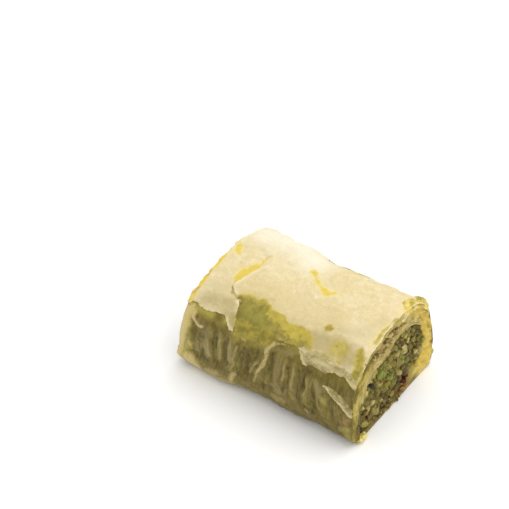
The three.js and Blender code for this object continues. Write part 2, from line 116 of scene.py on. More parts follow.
def cell_value(i, j, salt):
    """A value from 0 to 1 for each cell of a plane, the same each time."""
    wave = np.sin(i * 127.1 + j * 311.7 + salt * 74.7) * 43758.5453
    return wave - np.floor(wave)


def ripple(a, b, salt):
    """Smooth noise between -1 and 1 over a plane."""
    i, j = np.floor(a), np.floor(b)
    u, v = smooth(a - i, 0, 1), smooth(b - j, 0, 1)
    low = mix(cell_value(i, j, salt), cell_value(i + 1, j, salt), u)
    high = mix(cell_value(i, j + 1, salt), cell_value(i + 1, j + 1, salt), u)
    return mix(low, high, v) * 2.0 - 1.0


def layered(a, b, salt, steps=3):
    """Ripples of falling size added up."""
    total, size = 0.0, 1.0
    for k in range(steps):
        total = total + ripple(a / size, b / size, salt + k) * size
        size *= 0.5
    return total


def creases(a, b, salt):
    """Thin lines, 1 on each crease and 0 between them."""
    return (1.0 - np.abs(ripple(a, b, salt))) ** CREASE_SHARPNESS


def crumb_cells(y, z, size, salt):
    """Crumbs packed in a plane: distance to the nearest middle, gap to the next crumb, two values a crumb."""
    ci, cj = np.floor(y / size), np.floor(z / size)
    first, second = np.full(y.shape, FAR), np.full(y.shape, FAR)
    own, rise = np.zeros(y.shape), np.zeros(y.shape)
    for di in (-1, 0, 1):
        for dj in (-1, 0, 1):
            i, j = ci + di, cj + dj
            middle_y = (i + 0.15 + 0.7 * cell_value(i, j, salt)) * size
            middle_z = (j + 0.15 + 0.7 * cell_value(i, j, salt + 1)) * size
            away = np.hypot(y - middle_y, z - middle_z)
            closer = away < first
            second = np.where(closer, first, np.minimum(second, away))
            own = np.where(closer, cell_value(i, j, salt + 2), own)
            rise = np.where(closer, cell_value(i, j, salt + 3), rise)
            first = np.where(closer, away, first)
    return first / size, (second - first) / size, own, rise


def hermite(points, count, closed=False):
    """Points on a smooth line through the given ones."""
    table = np.array(points, float)
    if closed:
        table = np.vstack([table[-1:], table, table[:2]])
        spot = np.linspace(1, len(table) - 2, count, endpoint=False)
    else:
        spot = np.linspace(0, len(table) - 1, count)
    last = len(table) - 1
    k = np.minimum(spot.astype(int), last - 1)
    t = (spot - k)[:, None]
    before, here = table[np.maximum(k - 1, 0)], table[k]
    there, after = table[k + 1], table[np.minimum(k + 2, last)]
    v0, v1 = (there - before) * 0.5, (after - here) * 0.5
    cubic = (2 * here - 2 * there + v0 + v1) * t**3
    return cubic + (3 * there - 3 * here - 2 * v0 - v1) * t**2 + v0 * t + here


SECTION_LINE = hermite(SECTION, 1201)
SECTION_RUN = np.concatenate([[0.0], np.cumsum(np.hypot(*np.diff(SECTION_LINE, axis=0).T))])
GIRTH = SECTION_RUN[-1]
SECTION_WAY = np.gradient(SECTION_LINE, axis=0)
SECTION_WAY /= np.hypot(*SECTION_WAY.T)[:, None]


def section_at(s):
    """Place on the section at s as y and z, and the way that the section runs there."""
    columns = (SECTION_LINE[:, 0], SECTION_LINE[:, 1], SECTION_WAY[:, 0], SECTION_WAY[:, 1])
    return [np.interp(s, SECTION_RUN, column) for column in columns]


def left_end(y, z):
    """x of the left cut, which leans in towards the crown and is tucked in at the foot."""
    tuck = 1.2 * smooth(z, 0, 9) + 0.8 * (1 - smooth(z, 0, 3))
    corner = 0.5 * smooth(y, 0, 8) * smooth(z, 17, 25)
    return -22.6 + tuck + corner + 2.6 * (z / CROWN) ** 2 + 0.054 * y


def right_end(y, z):
    """x of the right cut, with a slight bulge on its back half."""
    bulge = 0.5 * smooth(y, 7, 12) * smooth(z, 3, 8) * (1 - smooth(z, 19, 24))
    return 25.1 - 1.4 * (z / CROWN) + 0.01 * y + bulge


def cut_end(y, z, side):
    """x of the right cut for side 1, and of the left cut for side -1."""
    return right_end(y, z) if side > 0 else left_end(y, z)


FIRST_X, LAST_X = float(left_end(0.0, 12.0)), float(right_end(0.0, 12.0))


def grown(x, y, z):
    """Points of the roll, which grows a little slimmer towards the right."""
    u = x / HALF_LENGTH
    return np.stack([x, y * (1 - NARROWER * u), z * (1 - LOWER * u)], -1)


def on_skin(x, s, height):
    """Points a height above the plain skin, at x along the roll and s round it."""
    y, z, way_y, way_z = section_at(s)
    y = y - way_z * height
    z = np.maximum(z + way_y * height, 0.0)
    share = (x - FIRST_X) / (LAST_X - FIRST_X)
    return grown(mix(left_end(y, z), right_end(y, z), share), y, z)


def to_segment(start, end, x, s):
    """Distance from each point to a straight stretch between two points."""
    (x0, s0), (x1, s1) = start, end
    dx, ds = x1 - x0, s1 - s0
    t = np.clip(((x - x0) * dx + (s - s0) * ds) / max(dx * dx + ds * ds, 1e-12), 0, 1)
    return np.hypot(x - x0 - dx * t, s - s0 - ds * t)


def trace(line, x, s):
    """Distance from each point to a line through the given points."""
    nearest = np.full(np.shape(x), FAR)
    for start, end in zip(line, line[1:]):
        nearest = np.minimum(nearest, to_segment(start, end, x, s))
    return nearest


def outside(outline, x, s):
    """Distance to a closed outline, negative inside it."""
    line = (outline[-1], *outline)
    inside = np.zeros(np.shape(x), bool)
    for (x0, s0), (x1, s1) in zip(line, line[1:]):
        if s0 != s1:
            inside ^= ((s0 > s) != (s1 > s)) & (x < x0 + (s - s0) * (x1 - x0) / (s1 - s0))
    nearest = trace(line, x, s)
    return np.where(inside, -nearest, nearest)


# Folds of the front long side: line as (x, s) from top to foot, height, half width, paleness of the fold's
# top, which is partly drier pastry and partly a painted highlight.
FRONT_FOLDS = (
    (((-17.9, 12.5), (-17.6, 9.5)), 0.25, 0.9, 0.1),
    (((-13.6, 16.2), (-13.2, 12.5), (-12.8, 9.3), (-12.6, 7.6)), 0.5, 0.8, 0.25),
    (((-10.6, 16), (-9.9, 13.4), (-9.8, 11), (-9.9, 8.8)), 0.55, 0.75, 0.3),
    (((-7.4, 15.6), (-6.9, 12.5), (-7, 9.8), (-6.9, 7.2)), 0.6, 0.95, 0.35),
    (((-4.6, 15.6), (-4.5, 12), (-4.7, 8.4)), 0.25, 0.6, 0),
    (((-0.2, 13.8), (-1, 11.5), (-1.9, 9.3)), 0.35, 0.5, 0.25),
    (((1.3, 14.8), (1, 12.5), (0.3, 10.3), (-0.3, 8.2), (-0.4, 6.8)), 0.6, 0.75, 0.3),
    (((4.9, 18.6), (5, 14.5), (4.9, 10.2)), 0.5, 0.9, 0.22),
    (((6.9, 17.6), (6.9, 14), (6.7, 10.6)), 0.45, 0.5, 0.25),
    (((9.1, 18), (9.3, 14.5), (9, 10.5)), 0.5, 0.7, 0.25),
    (((12.9, 15.9), (13, 13), (12.7, 10.2), (12.9, 8.2)), 0.55, 0.65, 0.3),
    (((15.4, 16.4), (15.6, 13), (15.9, 10)), 0.35, 0.7, 0.1),
    (((17.2, 13), (16.9, 10.2), (17.2, 7.2)), 0.5, 0.9, 0.2),
    (((20.9, 11.8), (20.9, 7.4)), 0.35, 0.8, 0.15),
    (((22.9, 10.8), (22.6, 6.4)), 0.3, 0.6, 0.1),
)
# Thin crests that catch the light: line, height, half width, paleness, which is drier pastry with a painted
# highlight on it.
FRONT_CRESTS = (
    (((2.6, 20), (1.8, 18.4), (1.2, 16.8), (2, 15.4), (1.4, 13.6)), 0.26, 0.24, 0.9),
    (((-19.2, 19.6), (-18.6, 17.8), (-18, 16.9), (-16.5, 16.1), (-15.5, 15.5)), 0.42, 0.3, 0.9),
    (((-5.4, 17.6), (-4.4, 17.4)), 0.3, 0.2, 0.9),
    (((-10.3, 15), (-9.7, 13.2), (-9.4, 11), (-9.6, 9.4)), 0.18, 0.18, 0.86),
    (((-5.6, 14.9), (-5.9, 12.3), (-6.3, 10.5), (-6.1, 9.2), (-6.8, 7.4)), 0.22, 0.2, 1),
    (((-5.6, 10.4), (-5, 9), (-4.8, 7.8), (-5.6, 6.9)), 0.11, 0.17, 0.52),
    (((1.1, 14.2), (0.8, 12.4), (0.2, 10.4), (-0.2, 8.6), (-0.4, 7)), 0.22, 0.19, 1),
    (((-0.1, 13.3), (-0.9, 11.6), (-1.8, 9.6)), 0.13, 0.19, 0.63),
    (((-13.2, 13.4), (-12.8, 11), (-12.6, 9), (-12.2, 8.2)), 0.17, 0.2, 0.8),
    (((-14.2, 11.6), (-13.9, 9.6), (-13.6, 7.6)), 0.11, 0.19, 0.46),
    (((6.9, 16.2), (7, 14.2), (6.8, 12)), 0.17, 0.19, 0.75),
    (((9.2, 16.8), (9.4, 14.2), (9.1, 12)), 0.17, 0.19, 0.69),
    (((12.7, 15.7), (12.9, 13.6), (12.6, 11.2)), 0.17, 0.19, 0.8),
    (((5.6, 18), (5.9, 14.8), (5.5, 12)), 0.11, 0.17, 0.34),
    (((15.9, 12.2), (16.1, 9.8), (16.6, 7.6)), 0.11, 0.17, 0.46),
    (((3.2, 12), (2.6, 9), (2.3, 7.2)), 0.11, 0.17, 0.34),
    (((19.9, 11.6), (20.3, 9.2)), 0.11, 0.19, 0.34),
    (((-16.2, 9.6), (-15.7, 7.6)), 0.11, 0.19, 0.34),
    (((7.6, 9.3), (7.2, 7.4)), 0.11, 0.23, 0.69),
    (((3.3, 8.6), (5.4, 8.9), (6.3, 7.4), (5.9, 6.2), (4.2, 6.3)), 0.13, 0.23, 0.46),
    (((9.9, 8.6), (10.4, 7.2)), 0.11, 0.19, 0.4),
)
# Valleys between the folds: line, depth, half width, and darkness of the painted shade in them.
FRONT_VALLEYS = (
    (((-16.4, 14.2), (-16.8, 12.6), (-16.6, 10.8)), 0.35, 0.7, 0.75),
    (((-15.9, 13.9), (-14.4, 13.6), (-13.6, 13.2)), 0.2, 0.5, 0.55),
    (((-11.4, 14.4), (-11.4, 12), (-11.5, 9.4)), 0.5, 0.55, 0.8),
    (((-8.6, 15.2), (-8.5, 12.6), (-8.6, 10.4), (-8.2, 8.7)), 0.5, 0.6, 0.85),
    (((-2.9, 13.8), (-2.8, 11.6), (-2.9, 9.6)), 0.55, 0.5, 1),
    (((-4, 13.6), (-4, 10.5), (-3.6, 7.6)), 0.4, 0.75, 0.7),
    (((-1.1, 15.2), (-0.9, 13.6)), 0.3, 0.4, 0.55),
    (((0.3, 14.2), (0.4, 12.9), (0, 11.6)), 0.4, 0.4, 0.8),
    (((2.8, 17.6), (3.5, 14), (3.4, 10.4)), 0.5, 0.6, 0.8),
    (((7.9, 16), (8, 12.5)), 0.4, 0.4, 0.7),
    (((10.5, 16.5), (10.6, 13.6), (10.4, 11.2)), 0.5, 0.6, 0.9),
    (((12.9, 17.9), (11.6, 17.2), (11.6, 15.2), (11.9, 12.8)), 0.6, 0.75, 1.15),
    (((14.4, 12.6), (14.7, 10.4), (14.9, 8.6)), 0.45, 0.6, 0.75),
    (((18.9, 13), (19, 10), (19.2, 7.8)), 0.45, 0.6, 0.7),
    (((10.9, 9.7), (10.9, 8.7)), 0.25, 0.5, 0.7),
    (((8.5, 6.4), (9.3, 6)), 0.15, 0.45, 0.55),
    (((3, 4.2), (4.6, 4.6)), 0.1, 0.6, 0.45),
    (((12.6, 4.2), (16.6, 3.8)), 0.1, 0.8, 0.5),
    (((10, 3.4), (12, 3.8)), 0.1, 0.6, 0.4),
    (((-19.6, 18.2), (-19.4, 17.2)), 0.2, 0.35, 0.8),
    (((-17.3, 19.9), (-15.8, 19.6), (-13.8, 19.6)), 0.1, 0.4, 0.35),
)
# Stains of the wet skin: kind, line, half width, strength. Pale marks along the crests are painted
# highlights, the pale band along the left rim is a painted glow of light through the thin end, and grey marks
# on the folds are a painted sheen over greyer half-dry pastry.
SKIN_STAINS = (
    ("syrup", ((-13.4, 27.6), (-14.2, 31.6), (-13, 36.4)), 2.6, 1),
    ("olive", ((-9.6, 20.6), (-6.6, 19.4), (-3.4, 18.8), (-0.6, 20)), 2.6, 1),
    ("olive", ((-6, 23), (4, 24), (10, 23.5)), 3.4, 1),
    ("olive", ((-17.6, 19), (-13, 18.6)), 1, 0.5),
    ("golden", ((-20.2, 2), (-20, 9), (-19.4, 15), (-19.2, 19)), 1.4, 0.8),
    # Painted glow: the thin left rim is paler where light shines through it.
    ("pale", ((-21.1, 4), (-20.6, 12), (-20.1, 18.5)), 1.5, 1),
    ("golden", ((-18.8, 7), (-17.8, 9.6)), 1.2, 0.8),
    ("golden", ((-19, 19.6), (-14, 19.4)), 1.1, 0.7),
    ("golden", ((-19.3, 6.5), (-17.4, 5.8)), 1.4, 0.6),
    ("golden", ((8.4, 8.6), (9.2, 7.4)), 0.8, 0.5),
    ("golden", ((0.5, 9.6), (1.8, 8)), 0.9, 0.4),
    ("golden", ((17.2, 12.6), (17.8, 11.4)), 0.8, 0.6),
    ("golden", ((23.2, 6.4), (24.2, 1)), 1.3, 0.5),
    ("golden", ((-19.6, 9.6), (-19, 6), (-16, 2.6)), 1.4, 0.65),
    ("pale", ((-18.2, 10.4), (-17.4, 8.2)), 0.8, 0.42),
    ("pale", ((-18.2, 4.6), (-15, 1.2), (-12, 1.4)), 1.5, 0.8),
    ("pale", ((-11.6, 2.2), (-6.6, 2.8)), 1.5, 0.55),
    ("rust", ((22.2, 7.8), (23.3, 9.6)), 0.8, 0.5),
    ("rust", ((-14.9, 11.4), (-14.6, 9.4)), 0.5, 0.3),
    ("pale", ((-6, 5.9), (-6.2, 4.2), (-6.5, 2.8)), 0.8, 0.62),
    ("pale", ((-17, 4.6), (-14.6, 3)), 1.4, 0.8),
    ("pale", ((-12.4, 3.6), (-9.6, 4.4)), 1, 0.5),
    ("pale", ((4.4, 5.4), (5.6, 4.9), (7.2, 4.7)), 0.7, 0.4),
    ("pale", ((21.4, 5.4), (23.2, 5.9)), 0.8, 0.35),
    ("grey", ((-14.8, 12.6), (-14.4, 9.8)), 0.8, 0.6),
    ("pale", ((12.5, 5.6), (13.1, 5.1)), 0.28, 0.5),
    # Painted highlights: pale marks along the crests below.
    ("pale", ((-5.2, 17.5), (-4.3, 17.4)), 0.22, 0.7),
    ("pale", ((-8.3, 16.5), (-8, 16.2)), 0.25, 0.5),
    ("pale", ((-19.2, 19.6), (-18.6, 17.8), (-18, 16.9), (-16.5, 16.1), (-15.5, 15.5)), 0.42, 0.85),
    ("pale", ((-19, 19.4), (-18.4, 18.4)), 0.7, 0.6),
    ("pale", ((2.6, 20), (1.9, 18.6), (1.2, 17)), 0.55, 0.66),
    ("pale", ((1.9, 17.4), (2, 15.4), (1.4, 13.4), (0.5, 10.6)), 0.34, 0.6),
    ("pale", ((2.7, 20.1), (5.4, 20.9)), 0.25, 0.6),
    # Painted sheen: grey marks along the fold tops, over greyer half-dry pastry.
    ("grey", ((-14, 14.8), (-13.2, 11), (-13.2, 9.6)), 0.9, 0.8),
    ("grey", ((-10.6, 13.2), (-10.2, 10)), 0.6, 0.8),
    ("grey", ((-7.6, 14.8), (-7, 11), (-7.2, 9.6)), 0.8, 0.75),
    ("grey", ((5, 17.2), (4.9, 13.6), (5.4, 11.4)), 0.8, 0.3),
    ("grey", ((4.9, 7.4), (6.2, 6.8)), 0.9, 0.8),
    ("grey", ((-1.6, 9.4), (-0.4, 12.8)), 0.5, 0.35),
    ("grey", ((9, 12.4), (8.9, 10.4)), 0.6, 0.4),
    ("grey", ((17, 10), (17.2, 7.4)), 0.8, 0.3),
    ("grey", ((8, 4.4), (14.5, 4.6)), 1.2, 0.25),
    ("green", ((-18.6, 12.4), (-17.6, 11.4)), 1, 0.5),
    ("green", ((-11.2, 11), (-11.2, 9.4)), 0.5, 0.5),
    ("green", ((1.6, 12), (2.2, 9.6)), 0.8, 0.4),
    ("green", ((13.8, 9.4), (13.2, 7)), 0.8, 0.4),
    ("green", ((-20.2, 6.6), (-20, 4.8)), 0.8, 0.6),
    ("brown", ((4.5, 16.4), (5, 11.4)), 1.3, 0.85),
    ("brown", ((-15.4, 15.6), (-13.4, 14.6)), 1, 0.8),
    ("brown", ((-13, 13.4), (-12.8, 10.6)), 0.8, 0.6),
    ("brown", ((0.6, 11.6), (1.6, 9.8)), 0.9, 0.7),
    ("brown", ((-1.4, 12), (-2.2, 10.4)), 0.6, 0.7),
    ("brown", ((6, 6.2), (12, 5.4)), 0.9, 0.5),
    ("brown", ((-13, 5.6), (-9, 6.2)), 0.9, 0.5),
    ("grey", ((2.6, 18.4), (5.2, 19.4), (8, 19.6)), 1, 0.5),
    ("grey", ((-16.2, 10.6), (-15.6, 8.2)), 0.9, 0.7),
    ("grey", ((-13.8, 10.8), (-13, 8.6)), 0.9, 0.9),
    ("grey", ((15, 15.6), (16.6, 15), (16.2, 13)), 0.9, 0.6),
)
# Where the folds of the back start and end along the roll, and how far apart they are.
BACK_START, BACK_END, BACK_PITCH = -19.2, 23.5, 3.5
BACK_SPOTS = 9


def back_features():
    """Folds and valleys of the back, drawn by rule, laid out as those of the front are."""
    folds, crests, valleys, stains = [], [], [], []
    x, k = BACK_START, 0
    while x < BACK_END:
        wander = [cell_value(k, n, 8.0) - 0.5 for n in range(8)]
        top, foot = 16.6 + 2.4 * wander[0], 7.6 + 2.2 * wander[1]
        lean, bend = 1.4 * wander[2], 0.35 * wander[3]
        line = tuple(
            (x + lean * t + bend * math.sin(3 * t), GIRTH - mix(top, foot, t))
            for t in (0.0, 0.35, 0.7, 1.0)
        )
        folds.append((line, 0.5 + 0.25 * wander[4], 0.8 + 0.4 * wander[5], 0.25))
        side = tuple((a + 0.35, b) for a, b in line)
        crests.append((side, 0.15, 0.24, 0.5 + 0.6 * wander[6]))
        gap = tuple((a + 1.75 + 0.5 * wander[7], b + 0.5) for a, b in line[:3])
        valleys.append((gap, 0.45, 0.55, 0.75 + 0.4 * wander[5]))
        stains.append((("golden", "grey", "green")[k % 3], line[1:3], 1.1, 0.5))
        x += BACK_PITCH * (1 + 0.5 * wander[6])
        k += 1
    for n in range(BACK_SPOTS):
        spot = (-19 + 42 * cell_value(n, 3, 9.0), GIRTH - 2 - 16 * cell_value(n, 4, 9.0))
        end = (spot[0] + 1.5, spot[1] + 1.0)
        stains.append((("golden", "pale", "grey")[n % 3], (spot, end), 0.9, 0.5))
    return tuple(folds), tuple(crests), tuple(valleys), tuple(stains)


BACK_FOLDS, BACK_CRESTS, BACK_VALLEYS, BACK_STAINS = back_features()


def broad(x, s):
    """The slow unevenness that every layer of the roll shares."""
    foot = np.minimum(s, GIRTH - s)
    swell = smooth(foot, 0.4, 2.2) * (1 - smooth(foot, 3.6, 6.2))
    height = 0.45 * swell * (0.7 + 0.5 * ripple(x * 0.2, s * 0.1, 21))
    height = height + 1.1 * bell(x + 9.0, 8.5) * (1 - smooth(s, 2, 9))
    height = height + 0.42 * ripple(x * 0.11, s * 0.1, 31) + 0.16 * ripple(x * 0.34, s * 0.3, 32)
    return height * smooth(foot, 0.3, 2.0)


def ridge(lines, x, s):
    """Summed heights of soft ridges along lines, and how strongly each point is marked by them."""
    height, mark = np.zeros(x.shape), np.zeros(x.shape)
    for line, rise, half, strength in lines:
        (low_x, low_s), (high_x, high_s) = np.min(line, 0), np.max(line, 0)
        pad = RIDGE_REACH * half + 0.3
        near = (x > low_x - pad) & (x < high_x + pad) & (s > low_s - pad) & (s < high_s + pad)
        if not near.any():
            continue
        body = bell(trace(line, x[near], s[near]), half)
        height[near] += rise * body
        mark[near] = np.maximum(mark[near], strength * body)
    return height, mark


def pleated(x, s):
    """Height of the gathered sides over the broad shape, with masks for the colours, for a painted highlight
    on the crests and for painted shade in the valleys.
    """
    foot = np.minimum(s, GIRTH - s)
    zone = smooth(foot, 3.8, 6.4) * (1 - smooth(foot, 15.6, 20.6))
    calm = 1 - 0.85 * smooth(foot, 20.5, 23.5)
    wx = x + 0.22 * ripple(x * 0.5, s * 0.45, 61) + 0.1 * ripple(x * 1.3, s * 0.9, 62)
    ws = s + 0.3 * ripple(x * 0.5, s * 0.45, 63)
    folds, fold_mark = ridge(FRONT_FOLDS + BACK_FOLDS, wx, ws)
    crests, crest_mark = ridge(FRONT_CRESTS + BACK_CRESTS, wx, ws)
    valleys, painted_shade = ridge(FRONT_VALLEYS + BACK_VALLEYS, wx, ws)
    threads = layered(wx * 1.15, ws * 0.2, 64, 3)
    strands = creases(wx * 0.62, ws * 0.1, 72) + 0.7 * creases(wx * 1.25, ws * 0.17, 73)
    furrows = creases(wx * 0.8, ws * 0.12, 74)
    height = zone * (-0.45 + 0.98 * folds - 0.8 * valleys) + 0.55 * crests
    height = height + zone * (0.08 * threads + 0.07 * strands - 0.08 * furrows)
    height = height + calm * 0.06 * layered(x * 0.8, s * 0.8, 67, 3)
    height = height + calm * 0.07 * creases(x * 0.5, s * 0.42, 71) * (1 - 0.5 * zone)
    # Painted highlight: fold tops and thin crests are lightened, over the paler colour of their drier pastry.
    pale_crest_and_highlight = np.clip(0.75 * fold_mark + 0.8 * crest_mark + 0.2 * zone * strands, 0, 1)
    # Painted shade: the ground between the folds and the valleys are darkened where shade falls.
    between = zone * (0.55 - 1.3 * folds + 0.35 * threads)
    painted_shade = np.clip(np.maximum(1.1 * painted_shade, between) + 0.25 * zone * furrows - 0.2 * strands, 0, 1)
    return height, zone, pale_crest_and_highlight, painted_shade


def stain_masks(kinds, stains, x, s, salt=80):
    """One soft mask a kind of stain, with uneven edges."""
    wx = x + 0.35 * ripple(x * 0.6, s * 0.6, salt) + 0.14 * ripple(x * 1.7, s * 1.7, salt + 1)
    ws = s + 0.35 * ripple(x * 0.6, s * 0.6, salt + 2) + 0.14 * ripple(x * 1.7, s * 1.7, salt + 3)
    masks = {kind: np.zeros(x.shape) for kind in kinds}
    for kind, line, half, strength in stains:
        stain = strength * (1 - smooth(trace(line, wx, ws), 0.0, half * 1.8))
        masks[kind] = np.maximum(masks[kind], stain)
    return masks


# ---------------------------------------------------------------- mesh helpers

# Corners closer than this are one, in metres.
SEAM = 2e-6
# How far apart the edge of a cut sheet is felt for its slope, and how often each corner is pulled in to it.
EDGE_FEEL, EDGE_PULLS = 0.02, 3


def alone(ob=None):
    """Deselects all, then makes one object the only selected and active one."""
    if bpy.context.object and bpy.context.object.mode != "OBJECT":
        bpy.ops.object.mode_set(mode="OBJECT")
    bpy.ops.object.select_all(action="DESELECT")
    if ob is not None:
        ob.select_set(True)
        bpy.context.view_layer.objects.active = ob


def edit_all(ob, operator, **settings):
    """Runs one edit-mode operator on the whole mesh of an object."""
    alone(ob)
    bpy.ops.object.mode_set(mode="EDIT")
    bpy.ops.mesh.select_all(action="SELECT")
    operator(**settings)
    bpy.ops.object.mode_set(mode="OBJECT")


def select_rims():
    """Selects only the open edges, in edit mode."""
    bpy.ops.mesh.select_all(action="DESELECT")
    bpy.ops.mesh.select_non_manifold()


def fetch(items, name):
    """Three numbers of each vertex or face, as rows."""
    values = np.empty(len(items) * 3, np.float32)
    items.foreach_get(name, values)
    return values.reshape(-1, 3)


def shares(ob):
    """Each vertex's share across and share up a new grid, both from 0 to 1."""
    places = fetch(ob.data.vertices, "co").astype(float)
    return (places[:, 0] + 1) / 2, (places[:, 1] + 1) / 2


def new_grid(name, across, up):
    """A grid of faces, with its vertices' shares across and up."""
    alone()
    bpy.ops.mesh.primitive_grid_add(x_subdivisions=across, y_subdivisions=up, size=2)
    ob = bpy.context.object
    ob.name = ob.data.name = name
    return ob, *shares(ob)


def mould(ob, points):
    """Moves each vertex to its point of the drawing, in millimetres."""
    placed = (points + DRAWING_SHIFT) * MM
    ob.data.vertices.foreach_set("co", placed.astype(np.float32).ravel())
    ob.data.update()


def mark(ob, **masks):
    """Keeps values on the vertices for the material to read."""
    for name, values in masks.items():
        vector = values.ndim == 2
        kind = "FLOAT_VECTOR" if vector else "FLOAT"
        layer = ob.data.attributes.get(name) or ob.data.attributes.new(name, kind, "POINT")
        layer.data.foreach_set("vector" if vector else "value", values.astype(np.float32).ravel())


def close_seams(ob):
    """Joins corners that lie on each other."""
    edit_all(ob, bpy.ops.mesh.remove_doubles, threshold=SEAM)


def consistent(ob):
    """Turns every face of a closed surface outwards."""
    edit_all(ob, bpy.ops.mesh.normals_make_consistent, inside=False)


def cap_ends(ob):
    """Fills the open ends of a tube."""
    alone(ob)
    bpy.ops.object.mode_set(mode="EDIT")
    select_rims()
    bpy.ops.mesh.fill()
    bpy.ops.object.mode_set(mode="OBJECT")


def face_outwards(ob, middle):
    """Flips an open sheet whose faces point towards a middle line along x."""
    away = fetch(ob.data.polygons, "center") / MM - np.array([0, *middle])
    away[:, 0] = 0
    if (away * fetch(ob.data.polygons, "normal")).sum() < 0:
        edit_all(ob, bpy.ops.mesh.flip_normals)


def thicken(ob, thickness, offset=-1):
    """Gives a sheet its thickness: inwards from its outer face, or to both sides of it with offset 0."""
    alone(ob)
    modifier = ob.modifiers.new("Thickness", "SOLIDIFY")
    modifier.thickness = thickness
    modifier.offset = offset
    bpy.ops.object.modifier_apply(modifier=modifier.name)


def finish_piece(ob, material, replaced=()):
    """Smooths a piece, gives it its material, and joins it to the frame."""
    alone(ob)
    bpy.ops.object.shade_smooth()
    ob.data.materials.clear()
    ob.data.materials.append(material)
    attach(ob, PIECE)
    for node in replaced:
        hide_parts(node)
    alone()


def cut_grid(name, outline, pitch, ragged, salt):
    """A grid cut to an outline with ragged edges. Returns it with x, s and the distance in from the edge."""
    line = hermite(outline, len(outline) * 5, closed=True)
    low, high = line.min(0) - 2 * pitch, line.max(0) + 2 * pitch
    across, up = np.ceil((high - low) / pitch).astype(int)
    ob, a, b = new_grid(name, int(across), int(up))
    edge = [tuple(p) for p in line]

    def laid_out(a, b):
        return mix(low[0], high[0], a), mix(low[1], high[1], b)

    def distance(px, ps):
        rough = 0.55 * ripple(px * 0.9, ps * 0.9, salt) + 0.45 * ripple(px * 2.6, ps * 2.6, salt + 1)
        return outside(edge, px, ps) + ragged * rough

    away = distance(*laid_out(a, b))
    alone(ob)
    form = bmesh.new()
    form.from_mesh(ob.data)
    form.verts.ensure_lookup_table()
    spare = [f for f in form.faces if all(away[v.index] > 0 for v in f.verts)]
    bmesh.ops.delete(form, geom=spare, context="FACES")
    form.verts.index_update()
    form.to_mesh(ob.data)
    form.free()
    x, s = laid_out(*shares(ob))
    step = EDGE_FEEL
    for _ in range(EDGE_PULLS):
        away = distance(x, s)
        out = away > 0
        slope_x = (distance(x + step, s) - distance(x - step, s)) / (2 * step)
        slope_s = (distance(x, s + step) - distance(x, s - step)) / (2 * step)
        size = np.maximum(slope_x * slope_x + slope_s * slope_s, 0.25)
        x = np.where(out, x - away * slope_x / size, x)
        s = np.where(out, s - away * slope_s / size, s)
    return ob, x, s, np.maximum(-distance(x, s), 0)


# ---------------------------------------------------------------- materials


class Recipe:
    """A material with short ways to add nodes to it, and the colour that it has so far."""

    def __init__(self, name, **sockets):
        self.material = bpy.data.materials.new(name)
        self.material.use_nodes = True
        self.tree = self.material.node_tree
        self.body = self.tree.nodes["Principled BSDF"]
        self.colour = None
        for socket, value in sockets.items():
            self.give(self.body.inputs[socket.replace("_", " ")], value)

    def give(self, socket, value):
        """Joins another node to a socket, or sets the socket's own value."""
        if isinstance(value, bpy.types.NodeSocket):
            self.tree.links.new(value, socket)
        else:
            socket.default_value = value

    def add(self, kind, inputs=(), **settings):
        """A new node with its settings and inputs."""
        node = self.tree.nodes.new("ShaderNode" + kind)
        for key, value in settings.items():
            setattr(node, key, value)
        for key, value in dict(inputs).items():
            self.give(node.inputs[key], value)
        return node

    def value(self, name):
        """A value that the mesh keeps under a name."""
        return self.add("Attribute", attribute_name=name).outputs["Fac"]

    def place(self, name="skin_place", stretch=(1, 1, 1)):
        """The surface's own coordinates, for patterns that follow it."""
        own = self.add("Attribute", attribute_name=name).outputs["Vector"]
        return self.add("Mapping", {"Vector": own, "Scale": stretch}).outputs["Vector"]

    def noise(self, vector, scale, detail, rough):
        """Cloudy noise about 0.5."""
        inputs = {"Vector": vector, "Scale": scale, "Detail": detail, "Roughness": rough}
        return self.add("TexNoise", inputs).outputs["Fac"]

    def fit(self, value, low, high, to_low=0.0, to_high=1.0):
        """A soft step: to_low where the value is low, to_high where it is high."""
        inputs = {"Value": value, "From Min": low, "From Max": high, "To Min": to_low, "To Max": to_high}
        return self.add("MapRange", inputs, interpolation_type="SMOOTHSTEP").outputs["Result"]

    def math(self, operation, a, b):
        """Two values put together."""
        node = self.add("Math", operation=operation)
        self.give(node.inputs[0], a)
        self.give(node.inputs[1], b)
        return node.outputs[0]

    def scaled(self, value, share):
        """One value times another."""
        return self.math("MULTIPLY", value, share)

    def part(self, value, low, high, most):
        """A soft step that rises no further than to most."""
        return self.scaled(self.fit(value, low, high), most)

    def uneven(self, name, noise):
        """A mask whose soft edge is broken up by a noise."""
        value = self.value(name)
        shift = self.scaled(self.math("SUBTRACT", noise, 0.5), 1.2)
        shift = self.scaled(shift, self.fit(value, 0.0, 0.4))
        return self.fit(self.math("ADD", value, shift), 0.06, 1.0)

    def lines(self, vector, scale, width):
        """Thin wandering lines, 1 on each line and 0 between them."""
        away = self.math("SUBTRACT", self.noise(vector, scale, 2, 0.5), 0.5)
        return self.fit(self.math("ABSOLUTE", away, 0.0), 0.0, width, 1.0, 0.0)

    def blend(self, share, low, high):
        """A colour that lies a share of the way from one to another."""
        node = self.add("Mix", data_type="RGBA")
        self.give(node.inputs["Factor"], share)
        for key, value in (("A", low), ("B", high)):
            socket = [i for i in node.inputs if i.name == key and i.type == "RGBA"][0]
            self.give(socket, value if isinstance(value, bpy.types.NodeSocket) else (*value, 1))
        return [o for o in node.outputs if o.type == "RGBA"][0]

    def over(self, share, colour):
        """Lays another colour over the one so far, where the share says."""
        self.colour = self.blend(share, self.colour, colour)

    def finish(self, roughness, height, strength, depth):
        """Joins colour, roughness and bump to the shader, and gives the finished material."""
        bump = self.add("Bump", {"Height": height, "Strength": strength, "Distance": depth})
        self.give(self.body.inputs["Base Color"], self.colour)
        self.give(self.body.inputs["Roughness"], roughness)
        self.give(self.body.inputs["Normal"], bump.outputs["Normal"])
        return self.material


